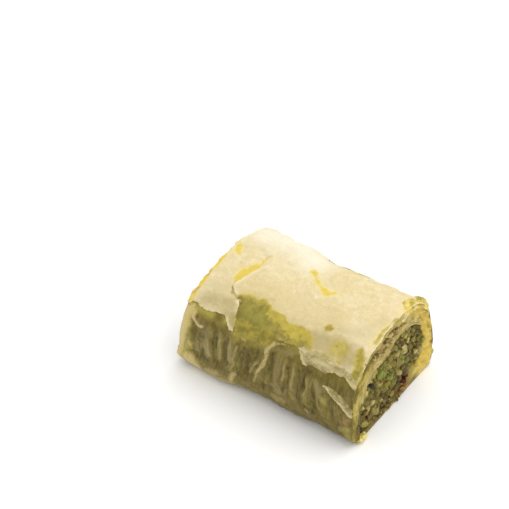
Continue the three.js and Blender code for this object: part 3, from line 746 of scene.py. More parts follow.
def soaked_colour(mat, place, colours):
    """Olive of a sheet that syrup has soaked through."""
    blotch = mat.fit(mat.noise(place, 0.42, 5, 0.62), 0.34, 0.66)
    streaks = mat.noise(mat.place(stretch=(1.3, 0.35, 1.0)), 0.9, 5, 0.65)
    soaked = mat.blend(mat.scaled(blotch, 0.85), colours.wet_sheet, colours.wet_sheet_light)
    soaked = mat.blend(mat.value("green"), soaked, colours.green_tint)
    return mat.blend(mat.part(streaks, 0.5, 0.7, 0.35), soaked, colours.wet_sheet_light)


def dry_sheet_material(colours):
    """Dry baked sheet: cream, matt, blotched where syrup or the layer below shows through."""
    mat = Recipe(
        "dry pastry sheet",
        Subsurface_Weight=0.1,
        Subsurface_Scale=0.001,
        Subsurface_Radius=(1.2, 0.8, 0.35),
        Specular_IOR_Level=0.3,
    )
    place = mat.place()
    wide = mat.fit(mat.noise(place, 0.13, 4, 0.6), 0.36, 0.64)
    small = mat.noise(place, 0.6, 6, 0.66)
    grain = mat.noise(place, 2.6, 5, 0.72)
    veins = mat.noise(mat.place(stretch=(0.5, 1.2, 1.0)), 0.5, 6, 0.7)
    mat.colour = mat.blend(mat.scaled(wide, 0.75), colours.dry_sheet, colours.dry_sheet_warm)
    mat.over(mat.part(small, 0.42, 0.66, 0.6), colours.dry_sheet_pale_and_highlight)
    mat.over(mat.value("warm"), colours.dry_sheet_warm)
    mat.over(mat.part(veins, 0.5, 0.68, 0.5), colours.dry_sheet_warm)
    mat.over(mat.part(grain, 0.5, 0.7, 0.3), colours.dry_sheet_pale_and_highlight)
    mat.over(mat.part(grain, 0.5, 0.32, 0.33), colours.stuck_sheet)
    mat.over(mat.uneven("stuck", small), colours.stuck_sheet)
    # Painted sheen: the back left of the top is paler, over its drier pastry.
    mat.over(mat.scaled(mat.value("chalk_and_sheen"), 0.62), colours.chalky_sheet_and_sheen)
    blotch = mat.fit(mat.noise(place, 0.55, 4, 0.6), 0.36, 0.64)
    amber = mat.blend(blotch, colours.syrup_edge, colours.syrup_light)
    mat.over(mat.value("tint"), amber)
    mat.over(mat.fit(mat.uneven("amber", small), 0.1, 0.6), amber)
    soaked = mat.uneven("olive", small)
    mat.over(mat.fit(soaked, 0.06, 0.42), amber)
    mat.over(mat.fit(soaked, 0.34, 0.76), soaked_colour(mat, place, colours))
    golden = mat.uneven("golden", small)
    thin_syrup = mat.scaled(mat.fit(golden, 0.0, 0.6), mat.fit(soaked, 0.0, 0.3, 1.0, 0.0))
    mat.over(thin_syrup, colours.golden_pale)
    mat.over(mat.fit(golden, 0.35, 1.0), colours.golden_syrup)
    mat.over(mat.uneven("rust", small), colours.browned_edge)
    mat.over(mat.uneven("soaked", small), colours.wet_sheet_light)
    # Pale marks: painted highlights along the edges, on the tear's lip and in small glints, with some paler
    # pastry.
    mat.over(mat.value("pale"), colours.dry_sheet_pale_and_highlight)
    # Painted shadow in the split by the tear.
    mat.over(mat.uneven("crack_shadow", small), colours.wet_sheet)
    wet = mat.math("MAXIMUM", mat.value("golden"), mat.value("olive"))
    rough = mat.math("SUBTRACT", mat.fit(small, 0.3, 0.7, 0.55, 0.7), mat.scaled(wet, 0.15))
    height = mat.math("ADD", mat.scaled(small, 1.2), mat.scaled(grain, 0.45))
    return mat.finish(rough, height, 0.8, 0.00024)


def wet_skin_material(colours):
    """Wet pastry: olive, translucent, with painted shade in the valleys and on the right of the foot band,
    and pale dry crests with a painted highlight.
    """
    mat = Recipe(
        "wet pastry skin",
        Coat_Weight=0.04,
        Coat_Roughness=0.3,
        Subsurface_Weight=0.08,
        Subsurface_Scale=0.0009,
        Subsurface_Radius=(1.0, 0.9, 0.3),
        Specular_IOR_Level=0.14,
    )
    place = mat.place()
    fibres = mat.noise(mat.place(stretch=(1.5, 0.3, 1.0)), 1.0, 6, 0.68)
    hairs = mat.noise(mat.place(stretch=(3.4, 0.8, 1.0)), 1.0, 5, 0.7)
    flakes = mat.noise(mat.place(stretch=(0.45, 1.3, 1.0)), 0.9, 6, 0.7)
    cloud = mat.noise(place, 0.36, 5, 0.64)
    grain = mat.noise(place, 2.4, 6, 0.72)
    highlight_lines = mat.lines(mat.place(stretch=(0.8, 0.2, 1.0)), 1.0, 0.05)
    shade_lines = mat.lines(mat.place(stretch=(0.62, 0.13, 1.0)), 1.3, 0.06)
    foot_lines = mat.lines(mat.place(stretch=(0.3, 0.75, 1.0)), 1.0, 0.05)
    mat.colour = mat.blend(mat.fit(cloud, 0.36, 0.64), colours.wet_skin, colours.wet_skin_light)
    mat.over(mat.part(fibres, 0.5, 0.68, 0.5), colours.wet_skin_light)
    mat.over(mat.part(hairs, 0.52, 0.7, 0.12), colours.side_crest_and_highlight)
    mat.over(mat.part(mat.noise(place, 0.5, 5, 0.66), 0.52, 0.66, 0.5), colours.brown_sheen)
    foot = mat.blend(mat.fit(flakes, 0.36, 0.62), colours.wet_skin, colours.lower_band)
    mat.over(mat.value("band"), mat.blend(mat.scaled(foot_lines, 0.35), foot, colours.grey_sheen))
    # Painted shade in the valleys and between the folds, and a painted shadow on the right of the foot band.
    mat.over(mat.scaled(mat.value("painted_shade"), mat.fit(fibres, 0.62, 0.3, 0.6, 1.0)), colours.valley_shade)
    mat.over(mat.part(fibres, 0.44, 0.3, 0.32), colours.valley_shade)
    pleat = mat.value("pleat")
    # Thin painted shade lines and painted highlight lines across the pleated zone.
    mat.over(mat.scaled(mat.scaled(pleat, shade_lines), 0.22), colours.valley_shade)
    mat.over(mat.scaled(mat.scaled(pleat, highlight_lines), 0.22), colours.side_crest_and_highlight)
    for stain, noise, colour in (
        ("olive", cloud, soaked_colour(mat, place, colours)),
        ("green", cloud, colours.green_tint),
        ("golden", grain, colours.wet_golden),
        ("syrup", cloud, colours.golden_syrup),
        ("grey", cloud, colours.grey_sheen),
        ("brown", cloud, colours.brown_sheen),
        ("rust", grain, colours.browned_edge),
    ):
        mat.over(mat.uneven(stain, noise), colour)
    # Painted highlight on the pleat crests, over their drier pastry.
    mat.over(mat.scaled(mat.value("pale_crest_and_highlight"), mat.fit(hairs, 0.3, 0.6, 0.35, 1.0)), colours.side_crest_and_highlight)
    # Pale marks: painted highlights on the crests and a painted glow along the left rim, with some paler
    # pastry.
    mat.over(mat.uneven("pale", grain), colours.cream_and_highlight)
    mat.over(mat.value("rim"), rim_colour(mat, cloud, grain, colours))
    # Painted shade in the gaps and the slit of the cut rims.
    mat.over(mat.value("groove"), colours.rim_groove_shade)
    mat.over(mat.part(grain, 0.54, 0.74, 0.22), colours.side_crest_and_highlight)
    mat.over(mat.part(grain, 0.46, 0.28, 0.26), colours.valley_shade)
    height = mat.math("ADD", mat.scaled(fibres, 1.2), mat.scaled(grain, 0.6))
    return mat.finish(mat.fit(grain, 0.3, 0.7, 0.36, 0.58), height, 0.5, 0.0002)


def rim_colour(mat, cloud, grain, colours):
    """Colour of the cut rims: olive plies, an amber back wall with cream blotches as painted highlights,
    paler under the top, crumbed at the foot.
    """
    wall = mat.blend(mat.fit(grain, 0.36, 0.6), colours.rim_amber, colours.rim_golden)
    wall = mat.blend(mat.part(cloud, 0.46, 0.34, 0.7), wall, colours.rim)
    # Painted highlights: cream blotches on the back wall.
    wall = mat.blend(mat.part(cloud, 0.56, 0.68, 0.6), wall, colours.cream_and_highlight)
    pale = mat.blend(mat.fit(grain, 0.36, 0.62), colours.rim_golden, colours.cream_and_highlight)
    crumbed = mat.blend(mat.fit(grain, 0.38, 0.62), colours.nut_brown, colours.rim)
    rim = mat.blend(mat.part(cloud, 0.4, 0.6, 0.6), colours.rim, colours.rim_golden)
    for name, colour in (("rim_back", wall), ("rim_pale", pale), ("crumbed", crumbed)):
        rim = mat.blend(mat.value(name), rim, colour)
    return rim


def flap_material(colours):
    """Thin half-dry flaps and flakes: grey cream over the olive below, with painted highlights along their
    edges.
    """
    mat = Recipe("half-dry flake", Subsurface_Weight=0.1, Subsurface_Scale=0.0008, Specular_IOR_Level=0.35)
    place = mat.place()
    cloud = mat.noise(place, 0.55, 5, 0.64)
    grain = mat.noise(place, 2.4, 6, 0.72)
    mat.colour = mat.blend(mat.fit(cloud, 0.36, 0.64), colours.flap, colours.flap_light)
    mat.over(mat.part(cloud, 0.5, 0.36, 0.4), colours.wet_skin_light)
    mat.over(mat.part(grain, 0.5, 0.34, 0.42), colours.wet_skin_light)
    mat.over(mat.uneven("olive", cloud), colours.wet_skin_light)
    mat.over(mat.uneven("golden", cloud), colours.wet_golden)
    scratches = mat.lines(mat.place(stretch=(0.5, 0.8, 1.0)), 1.2, 0.05)
    mat.over(mat.scaled(scratches, 0.5), colours.pale_crest_and_highlight)
    # Painted highlights along the edges and the middle ridge of the flaps.
    mat.over(mat.value("pale"), colours.pale_crest_and_highlight)
    height = mat.math("ADD", cloud, mat.scaled(grain, 0.5))
    return mat.finish(mat.fit(grain, 0.3, 0.7, 0.42, 0.62), height, 0.6, 0.0002)


def ply_material(colours):
    """The rolled-in ply at its cut ends: blotched yellow, with painted shade in the gaps between its leaves.
    """
    mat = Recipe("inner pastry ply", Subsurface_Weight=0.12, Subsurface_Scale=0.0008)
    place = mat.place("end_place")
    blotch = mat.fit(mat.noise(place, 0.6, 4, 0.6), 0.34, 0.66)
    grain = mat.noise(place, 3.0, 5, 0.7)
    mat.colour = mat.blend(blotch, colours.ply, colours.ply_light)
    mat.over(mat.value("groove"), colours.rim_groove_shade)
    mat.over(mat.part(grain, 0.5, 0.75, 0.3), colours.pale_crest_and_highlight)
    return mat.finish(mat.fit(grain, 0.3, 0.7, 0.42, 0.6), grain, 0.5, 0.0002)


def curl_material(colours):
    """Syrupy pastry: yellow, glossy, greener in its hollows."""
    mat = Recipe(
        "syrupy curl", Coat_Weight=0.4, Coat_Roughness=0.2, Subsurface_Weight=0.2, Subsurface_Scale=0.0008
    )
    place = mat.place("end_place")
    blotch = mat.fit(mat.noise(place, 0.9, 4, 0.6), 0.35, 0.65)
    mat.colour = mat.blend(blotch, colours.golden_syrup, colours.curl_yellow)
    mat.over(mat.value("groove"), colours.green_tint)
    return mat.finish(mat.fit(blotch, 0, 1, 0.3, 0.45), mat.noise(place, 2.0, 5, 0.6), 0.5, 0.0002)


def nut_material(name, colour, colour_two, colour_three):
    """Chopped nut: two colours in blotches, a third in flecks, moist."""
    mat = Recipe(
        name,
        Coat_Weight=0.03,
        Coat_Roughness=0.3,
        Subsurface_Weight=0.15,
        Subsurface_Scale=0.0008,
        Subsurface_Radius=(1.0, 0.9, 0.3),
        Specular_IOR_Level=0.18,
    )
    place = mat.add("TexCoord").outputs["Object"]
    blotch = mat.fit(mat.noise(place, 900, 4, 0.6), 0.36, 0.64)
    mat.colour = mat.blend(blotch, colour, colour_two)
    mat.over(mat.value("tone"), colour_three)
    mat.over(mat.part(mat.noise(place, 2400, 5, 0.65), 0.48, 0.64, 0.55), colour_two)
    mat.over(mat.part(mat.noise(place, 1500, 5, 0.65), 0.47, 0.36, 0.7), colour_three)
    rough = mat.fit(mat.noise(place, 1800, 4, 0.6), 0.3, 0.7, 0.35, 0.6)
    return mat.finish(rough, mat.noise(place, 2600, 5, 0.65), 0.6, 0.0002)


def paste_material(name, stops, painted_shade):
    """Crumbs pressed together: each crumb has its own colour from a short range, with painted shade in the
    gaps.
    """
    mat = Recipe(
        name,
        Coat_Weight=0.06,
        Coat_Roughness=0.35,
        Subsurface_Weight=0.1,
        Subsurface_Scale=0.0008,
        Specular_IOR_Level=0.25,
    )
    place = mat.place("end_place")
    grain = mat.noise(place, 2.2, 6, 0.7)
    tone = mat.math("ADD", mat.value("kind"), mat.scaled(mat.math("SUBTRACT", grain, 0.5), 0.9))
    ramp = mat.add("ValToRGB", {"Fac": tone})
    elements = ramp.color_ramp.elements
    elements[0].position, elements[1].position = stops[0][0], stops[-1][0]
    for position, _ in stops[1:-1]:
        elements.new(position)
    for element, (_, colour) in zip(elements, stops):
        element.color = (*colour, 1)
    # Painted shade in the gaps and holes of the filling.
    mat.colour = mat.blend(mat.value("painted_shade"), ramp.outputs["Color"], painted_shade)
    return mat.finish(mat.fit(grain, 0.3, 0.7, 0.4, 0.62), mat.noise(place, 3.5, 6, 0.7), 0.7, 0.0003)


# ---------------------------------------------------------------- settings


def colour_setting(name, default, description):
    """A colour that a user can change, in linear light."""
    return FloatVectorProperty(
        name=name, description=description, subtype="COLOR", size=3, min=0, max=1, default=default
    )


def length_setting(name, default, description):
    """A length that a user can change, in metres."""
    return FloatProperty(
        name=name, description=description, unit="LENGTH", precision=5, min=0, default=default
    )


class BaklavaSizes(bpy.types.PropertyGroup):
    """Sizes that a baker would change."""

    dry_thickness: length_setting("Dry sheet", 0.00015, "Thickness of the dry top sheets")
    flap_thickness: length_setting("Flaps", 0.00013, "Thickness of the loose flaps and flakes")
    curl_thickness: length_setting("Curl", 0.00028, "Thickness of the syrupy curl")
    ply_share: FloatProperty(
        name="Inner ply", description="Thickness of the inner ply against its drawing", default=1.0, min=0.2
    )
    rim_rings: IntProperty(name="Rim rings", description="Rings of faces across a cut rim", default=16, min=4)


class BaklavaColours(bpy.types.PropertyGroup):
    """Colours of the pastry and of the nuts, in linear light."""

    dry_sheet: colour_setting("Dry sheet", (0.735, 0.604, 0.345), "Dry cream pastry")
    dry_sheet_warm: colour_setting("Dry sheet, warm", (0.67, 0.528, 0.255), "Dry pastry baked a little more")
    # Dry sheet, pale: paler pastry, also used for painted highlights and glints.
    dry_sheet_pale_and_highlight: colour_setting("Dry sheet, pale", (0.810, 0.695, 0.445), "Lifted, driest pastry")
    stuck_sheet: colour_setting("Stuck sheet", (0.46, 0.368, 0.168), "Dry sheet stuck to a wet one")
    # Chalky sheet: drier pastry at the back, also a painted broad sheen there.
    chalky_sheet_and_sheen: colour_setting("Chalky sheet", (0.860, 0.820, 0.680), "Driest pastry at the back")
    syrup_edge: colour_setting("Syrup edge", (0.430, 0.332, 0.045), "Yellow edge of a soaked patch")
    syrup_light: colour_setting("Syrup edge, light", (0.515, 0.400, 0.060), "Lighter blotches of that edge")
    curl_yellow: colour_setting("Curl", (0.88, 0.80, 0.26), "Syrupy curl at the foot")
    golden_pale: colour_setting("Pale syrup", (0.780, 0.625, 0.250), "Thin edge of the golden syrup")
    wet_sheet: colour_setting("Soaked sheet", (0.215, 0.176, 0.028), "Syrup-soaked sheet")
    wet_sheet_light: colour_setting(
        "Soaked sheet, light", (0.425, 0.335, 0.055), "Yellower syrup-soaked sheet"
    )
    golden_syrup: colour_setting(
        "Golden syrup", (0.70, 0.52, 0.075), "Butter and syrup that pooled in a tear"
    )
    browned_edge: colour_setting("Browned", (0.45, 0.22, 0.06), "Browned pastry")
    wet_skin: colour_setting("Wet side", (0.138, 0.103, 0.010), "Wet pleated side")
    wet_skin_light: colour_setting("Wet side, light", (0.203, 0.157, 0.027), "Lighter wet pleated side")
    # Valleys: colour of the painted shade between the pleats.
    valley_shade: colour_setting("Valleys", (0.055, 0.039, 0.004), "Valleys between the pleats")
    lower_band: colour_setting("Foot band", (0.295, 0.234, 0.103), "Smoother band at the foot")
    green_tint: colour_setting("Green tint", (0.215, 0.205, 0.026), "Pistachio green that shows through")
    wet_golden: colour_setting("Golden side", (0.43, 0.352, 0.070), "Yellow wet pastry")
    brown_sheen: colour_setting("Brown sheen", (0.170, 0.123, 0.038), "Browner blotches of the wet side")
    # Grey sheen: a painted sheen on the fold tops, over greyer half-dry pastry.
    grey_sheen: colour_setting("Grey sheen", (0.270, 0.215, 0.092), "Greyish, half-dry pastry")
    # Crests: colour of dry crests and edges, also used as a painted highlight along edges.
    pale_crest_and_highlight: colour_setting("Crests", (0.62, 0.52, 0.26), "Dry crests and edges")
    rim: colour_setting("Rim", (0.27, 0.212, 0.035), "Cut edges of the sheets")
    rim_golden: colour_setting("Rim, golden", (0.66, 0.51, 0.105), "Yellower cut edges")
    rim_amber: colour_setting("Rim, amber", (0.70, 0.46, 0.085), "Amber lumps of the back wall")
    # Rim, cream: drier cream pastry, also used for painted highlights and glow.
    cream_and_highlight: colour_setting("Rim, cream", (0.60, 0.48, 0.20), "Drier cut edges under the top")
    # Side crests: half-dry crest colour, used as a painted highlight on the pleats.
    side_crest_and_highlight: colour_setting("Side crests", (0.405, 0.325, 0.130), "Half-dry crests of the pleats")
    # Rim grooves: colour of the painted shade in the gaps between the cut edges.
    rim_groove_shade: colour_setting("Rim grooves", (0.12, 0.083, 0.012), "Gaps between the cut edges")
    flap: colour_setting("Flap", (0.335, 0.268, 0.105), "Half-dry flap")
    flap_light: colour_setting("Flap, light", (0.440, 0.360, 0.165), "Drier flap")
    ply: colour_setting("Inner ply", (0.42, 0.32, 0.075), "Rolled-in ply")
    ply_light: colour_setting("Inner ply, light", (0.58, 0.46, 0.14), "Paler rolled-in ply")
    nut_green: colour_setting("Green nut", (0.245, 0.258, 0.028), "Green pistachio")
    nut_olive: colour_setting("Olive nut", (0.200, 0.160, 0.024), "Olive pistachio")
    nut_pale: colour_setting("Pale nut", (0.42, 0.34, 0.085), "Pale cut kernel")
    nut_brown: colour_setting("Brown nut", (0.150, 0.098, 0.018), "Roasted nut")
    nut_skin: colour_setting("Nut skin", (0.040, 0.007, 0.004), "Dark red nut skin")
    # Deep crumb: the darkest crumbs, also the colour of the painted shade in the gaps.
    nut_dark_and_gap_shade: colour_setting("Deep crumb", (0.035, 0.024, 0.004), "Gaps between the crumbs")


# ---------------------------------------------------------------- wrapper

SKIN_KINDS = ("golden", "rust", "pale", "grey", "green", "olive", "syrup", "brown")
# Rows of the skin's grid: from s, to s, how many.
SKIN_ROWS = ((0, 5, 16), (5, 20, 84), (20, 30, 28), (30, 52, 30), (52, 68.4, 66), (68.4, None, 14))
BASE_ROWS = 12
SKIN_STATIONS = 270
WALL_ROWS = 6
# Middle of both cut ends, as (y, z), and the rims' own reach round it.
RIM_CENTRE = (-1.2, 11.0)
RIM_RADIUS = 13
# The rims' patterns are taken this far along, away from those of the skin.
RIM_SPOT = 60.0
RIM_MARKS = ("rim", "groove", "rim_back", "rim_pale", "crumbed")
# Half width of the gaps between the plies of a rim, at the right and at the left end.
RIM_GAP = {1: 0.13, -1: 0.26}
RIM_LUMP, RIM_CRUMB = 1.5, 1.1
# How many rings in from the skin its colours fade out on a rim.
RIM_FADE = 2.0
# The slit between the outermost sheet and the plies under it, and a hole in its foot, at the right end; both
# are sunk and darkened as painted shadow.
RIM_SLIT = ((-8.4, 21.9), (-10.0, 20.9), (-12.7, 19.2), (-14.5, 17.6), (-15.7, 15.9), (-16.4, 13.6))
RIM_PIT = ((-15.9, 5.2), (-15.7, 3.6))
# How strongly the underside and the foot of the sides are marked as the foot band.
BAND_SHARE = 0.75
BASE_ROW_STEP = 2.5


def opening_radius(angles):
    """How far the opening reaches from the middle of the cut end at each angle."""
    line = hermite(OPENING_OUTLINE, 400, closed=True) - np.array(RIM_CENTRE)
    turn = np.unwrap(np.arctan2(line[:, 1], line[:, 0]))
    if turn[-1] < turn[0]:
        line, turn = line[::-1], turn[::-1]
    reach = np.hypot(line[:, 0], line[:, 1])
    wrapped = (angles - turn[0]) % (2 * math.pi) + turn[0]
    full = np.concatenate([turn, [turn[0] + 2 * math.pi]])
    return np.interp(wrapped, full, np.concatenate([reach, reach[:1]]))


def rim_relief(y, z, depth, side):
    """How far the cut plies stand out at an end, with masks for their colours and for the painted shade in
    their gaps.
    """
    salt = 90 + 10 * side
    front, rear = smooth(-y, 7, 11), smooth(y, 6, 10)
    run = np.arctan2(z - RIM_CENTRE[1], y) * RIM_RADIUS
    pitch = 0.8 + 0.45 * front + 0.5 * rear
    layer = depth / pitch + 0.5 * ripple(run * 0.16, run * 0, salt)
    layer = layer + 0.2 * ripple(run * 0.5, run * 0, salt + 1)
    leaf = np.floor(layer)
    part = layer - leaf
    gap = bell(np.minimum(part, 1 - part) * pitch, RIM_GAP[side])
    gap = gap * smooth(depth, 0.15, 0.6) * (1 - 0.45 * rear)
    cracks = creases(y * 0.45, z * 0.45, salt + 10) + 0.6 * creases(y * 1.1, z * 1.1, salt + 11)
    gap = np.maximum(gap, 0.3 * rear * cracks) * smooth(ripple(run * 0.35, leaf * 2.9, salt + 2), -0.7, 0.3)
    gap = gap * (0.3 + 0.7 * front)
    stand = 0.34 * ripple(run * 0.25, leaf * 3.7, salt + 3) + 0.14 * ripple(run * 1.1, leaf * 5.1, salt + 4)
    wander_y = y + 0.7 * ripple(y * 0.7, z * 0.7, salt + 12)
    wander_z = z + 0.6 * ripple(y * 0.6, z * 0.6, salt + 14)
    lump_away, _, _, lump_rise = crumb_cells(wander_y, wander_z, RIM_LUMP, salt + 13)
    dome = np.sqrt(np.clip(1 - lump_away * lump_away * 1.6, 0, 1))
    lumps = 0.5 * layered(y * 0.5, z * 0.5, salt + 5, 3) + 0.85 * dome * lump_rise - 0.4 - 0.3 * cracks
    stand = mix(stand, lumps, rear) + 0.14 * layered(y * 1.3, z * 1.3, salt + 6, 2) - 0.5 * gap + 0.1
    if side > 0:
        slit = bell(trace(RIM_SLIT, y + 0.15 * ripple(y, z, 3), z), 0.55)
        pit = bell(trace(RIM_PIT, y, z), 0.8)
        stand, gap = stand - 0.5 * slit - 0.4 * pit, np.maximum(gap, 1.15 * slit)
    wander = 0.5 * ripple(y * 0.6, z, salt + 7)
    low = (1 - smooth(z + wander, 1.2, 2.6)) * (1 - smooth(np.abs(y + 2.5), 11.0, 13.5))
    foot = (1 - smooth(z + 2 * wander, 5.0, 8.0)) * smooth(-y, 8, 11) * smooth(depth, 0.45, 0.9)
    low = np.maximum(low, foot)
    crumb_away, _, _, crumb_rise = crumb_cells(y, z, RIM_CRUMB, salt + 8)
    crumbs = 0.5 * (crumb_rise - 0.4) + 0.35 * np.sqrt(np.clip(1 - crumb_away * crumb_away * 1.5, 0, 1))
    stand = mix(stand, crumbs, low)
    # Pale: patches on the front wall are painted highlights; under the top the pale band is drier cream
    # pastry.
    patches = smooth(ripple(y * 0.3, z * 0.3, salt + 9), -0.4, 0.3)
    pale = np.maximum(patches * front, 0.9 * (1 - front) * (1 - rear))
    # Painted shade: the gaps between plies, the slit, the pit and the creases between the back wall's lumps
    # are darkened.
    groove = 0.85 * gap * (1 - low)
    if side > 0:
        groove = np.maximum(groove, pit)
    groove = np.maximum(groove, 0.42 * rear * (1 - low) * smooth(lump_away, 0.62, 0.95))
    marks = {"groove": groove, "rim_back": rear, "rim_pale": pale * 0.5, "crumbed": low}
    return stand, marks


def rim_ring(loop, share, side):
    """One ring of a cut rim, a share of the way in from the skin to the opening, with its masks."""
    flat = loop[:, 1:] - np.array(RIM_CENTRE)
    angle = np.arctan2(flat[:, 1], flat[:, 0])
    inner = np.stack([np.cos(angle), np.sin(angle)], -1) * opening_radius(angle)[:, None]
    y, z = (mix(flat, inner, share) + np.array(RIM_CENTRE)).T
    depth = share * np.hypot(*(flat - inner).T)
    stand, marks = rim_relief(y, z, depth, side)
    stand = stand * smooth(depth, 0.0, 0.45) * smooth(loop[:, 2], 0.0, 1.0)
    start = loop[:, 0] - cut_end(loop[:, 1], loop[:, 2], side)
    x = cut_end(y, z, side) + side * stand + start * (1 - share)
    return np.stack([x, y, z], -1), dict(marks, rim=smooth(depth, -0.05, 0.45))


def skin_layers(x, s):
    """Height of the skin over the plain roll, and the masks for its colours."""
    pleat, zone, pale_crest_and_highlight, painted_shade = pleated(x, s)
    foot = np.minimum(s, GIRTH - s)
    height = broad(x, s) + pleat * smooth(foot, 0.3, 2.5)
    band = (1 - smooth(foot + 0.6 * ripple(x * 0.5, s * 0.3, 77), 4.2, 6.6)) * BAND_SHARE
    # Painted shadow: the foot band grows darker towards the right.
    painted_shade = np.maximum(painted_shade, 0.75 * band * smooth(x + 1.5 * ripple(x * 0.3, s * 0.4, 78), -4, 7))
    masks = stain_masks(SKIN_KINDS, SKIN_STAINS + BACK_STAINS, x, s)
    return height, dict(masks, pale_crest_and_highlight=pale_crest_and_highlight, painted_shade=painted_shade, band=band, pleat=zone)


def make_wrapper(sizes, colours):
    """The wrapper as one closed surface: skin, flat underside, both cut rims and the opening's wall."""
    rows = [np.linspace(low, high or GIRTH, count, endpoint=False) for low, high, count in SKIN_ROWS]
    s_rows = np.concatenate([*rows, [GIRTH]])
    skin_count = len(s_rows)
    around = skin_count + BASE_ROWS
    rings = sizes.rim_rings
    total = SKIN_STATIONS + 2 * rings + WALL_ROWS
    ob, a, b = new_grid("wrapper", total, around)
    i = np.rint(a * total).astype(int) % total
    k = np.rint(b * around).astype(int) % around

    x_mid = np.linspace(FIRST_X, LAST_X, SKIN_STATIONS)
    x, s = np.meshgrid(x_mid, s_rows, indexing="ij")
    height, layers = skin_layers(x, s)
    skin = on_skin(x, s, height)
    share = (np.arange(BASE_ROWS) + 1)[None, :, None] / (BASE_ROWS + 1)
    base = mix(skin[:, -1][:, None, :], skin[:, 0][:, None, :], share)
    base[:, :, 2] = 0.0

    places = np.zeros((total, around, 3))
    places[:SKIN_STATIONS] = np.concatenate([skin, base], axis=1)
    rim = {name: np.zeros((total, around)) for name in RIM_MARKS}
    for side, first, start in ((1, SKIN_STATIONS, SKIN_STATIONS - 1), (-1, total - rings, 0)):
        for n in range(rings):
            share = (n + 1) / rings if side > 0 else (rings - n) / rings
            places[first + n], marks = rim_ring(places[start], share, side)
            for name, values in marks.items():
                rim[name][first + n] = values
    wall = slice(SKIN_STATIONS + rings, total - rings)
    share = (np.arange(WALL_ROWS) + 1)[:, None, None] / (WALL_ROWS + 1)
    places[wall] = mix(places[wall.start - 1], places[wall.stop], share)
    rim["rim"][wall] = 1.0
    mould(ob, places[i, k])

    values = {name: data[i, k] for name, data in rim.items()}
    fade = np.exp(-np.arange(rings) / RIM_FADE)[:, None]
    for name, data in layers.items():
        full = np.zeros((total, around))
        full[:SKIN_STATIONS, :skin_count] = data
        if name == "band":
            full[:SKIN_STATIONS, skin_count:] = BAND_SHARE
        full[SKIN_STATIONS : SKIN_STATIONS + rings] = full[SKIN_STATIONS - 1] * fade
        full[total - rings :] = full[0] * fade[::-1]
        values[name] = full[i, k]
    spot = np.zeros((total, around, 3))
    spot[:SKIN_STATIONS, :skin_count] = np.stack([x, s, x * 0], -1)
    spot[:SKIN_STATIONS, skin_count:, 0] = x_mid[:, None]
    spot[:SKIN_STATIONS, skin_count:, 1] = GIRTH + np.arange(BASE_ROWS)[None, :] * BASE_ROW_STEP
    spot[SKIN_STATIONS:, :, :2] = places[SKIN_STATIONS:, :, 1:] + np.array([RIM_SPOT, 0])
    mark(ob, skin_place=spot[i, k], **values)
    close_seams(ob)
    consistent(ob)
    finish_piece(ob, wet_skin_material(colours), ("pastry",))


# ---------------------------------------------------------------- sheets

# Outlines of the sheets and flaps as (x, s), and their stains.
MAIN_SHEET = (
    (-9.9, 22.6), (-9.4, 21.4), (-7.2, 20.6), (-4.4, 20.2), (-1.8, 20.2), (0.2, 20.4),
    (1.6, 20.9), (3.4, 21.1), (5.4, 21.3), (7.6, 21.5), (9, 22), (10.8, 22.3), (14, 22.2),
    (17.4, 22.1), (20.4, 21.8), (22.6, 20.6), (24.5, 19.6), (24.6, 26), (24.7, 34),
    (24.7, 42), (24.7, 50.6), (21, 51.6), (17, 51.2), (14.2, 49.8), (12.8, 48.6), (9, 48),
    (4, 48), (0, 48.6), (-3, 49.6), (-5.4, 50.8), (-8, 51.4), (-10.4, 49.4), (-13, 49.6),
    (-15.2, 52.4), (-18.6, 52.8), (-21.3, 52), (-21.3, 45), (-21.2, 35.4), (-19.4, 34.8),
    (-17, 35.4), (-14.6, 36.6), (-13.1, 36.9), (-12.3, 36), (-11.8, 34.4), (-11.9, 32.6),
    (-12.5, 30.8), (-13.4, 29.2), (-13.9, 27.3), (-12.7, 26.4), (-11.3, 25.6), (-9.9, 24.7),
)  # fmt: skip
# Where the main sheet sinks into the layer below: soaked through at its front, baked on at its left.
SOAKED_EDGE = (((-9.9, 23.4), (-9.4, 21.4), (-7.2, 20.6), (-4.4, 20.2), (-1.8, 20.2), (0.6, 20.6)), 3.0)
TIP_EDGE = (((-7.2, 17.0), (-6.8, 16.2)), 0.9)
BAKED_EDGE = (((-21.2, 35.4), (-19.4, 34.8), (-17.0, 35.4), (-14.6, 36.6)), 3.4)
# Lip of the main sheet along the tear and dip of the left sheet below it: line, height, half width, mark.
TEAR_LIP = (
    (((-13.5, 27.6), (-12.9, 29.4), (-12, 31.8), (-11.1, 33.5), (-9.9, 34.8)), 0.42, 0.5, 1),
    (((-13.2, 26.6), (-11.8, 25.8), (-10, 24.6)), 0.3, 0.5, 1),
)
TEAR_DIP = ((((-14.0, 28.4), (-13.9, 31.0), (-13.3, 33.0), (-12.4, 35.0)), -0.22, 1.1, 1.0),)
LEFT_SHEET = (
    (-21.2, 20.2), (-19, 20.5), (-17, 20.3), (-15, 20.2), (-13, 20.6), (-11.4, 20.7),
    (-10.2, 19.8), (-9.2, 18.7), (-7.6, 17.7), (-8, 19.6), (-8.5, 21.4), (-9.2, 22.8),
    (-9.6, 24.3), (-10.8, 26),
    (-12, 27.6), (-12.2, 28.6), (-11.8, 30.2), (-11.2, 32), (-10.9, 34), (-11.4, 36.2),
    (-12, 37.6), (-13, 38.8), (-16, 40.2), (-21.2, 40.2), (-21.3, 34), (-21.2, 27),
)  # fmt: skip
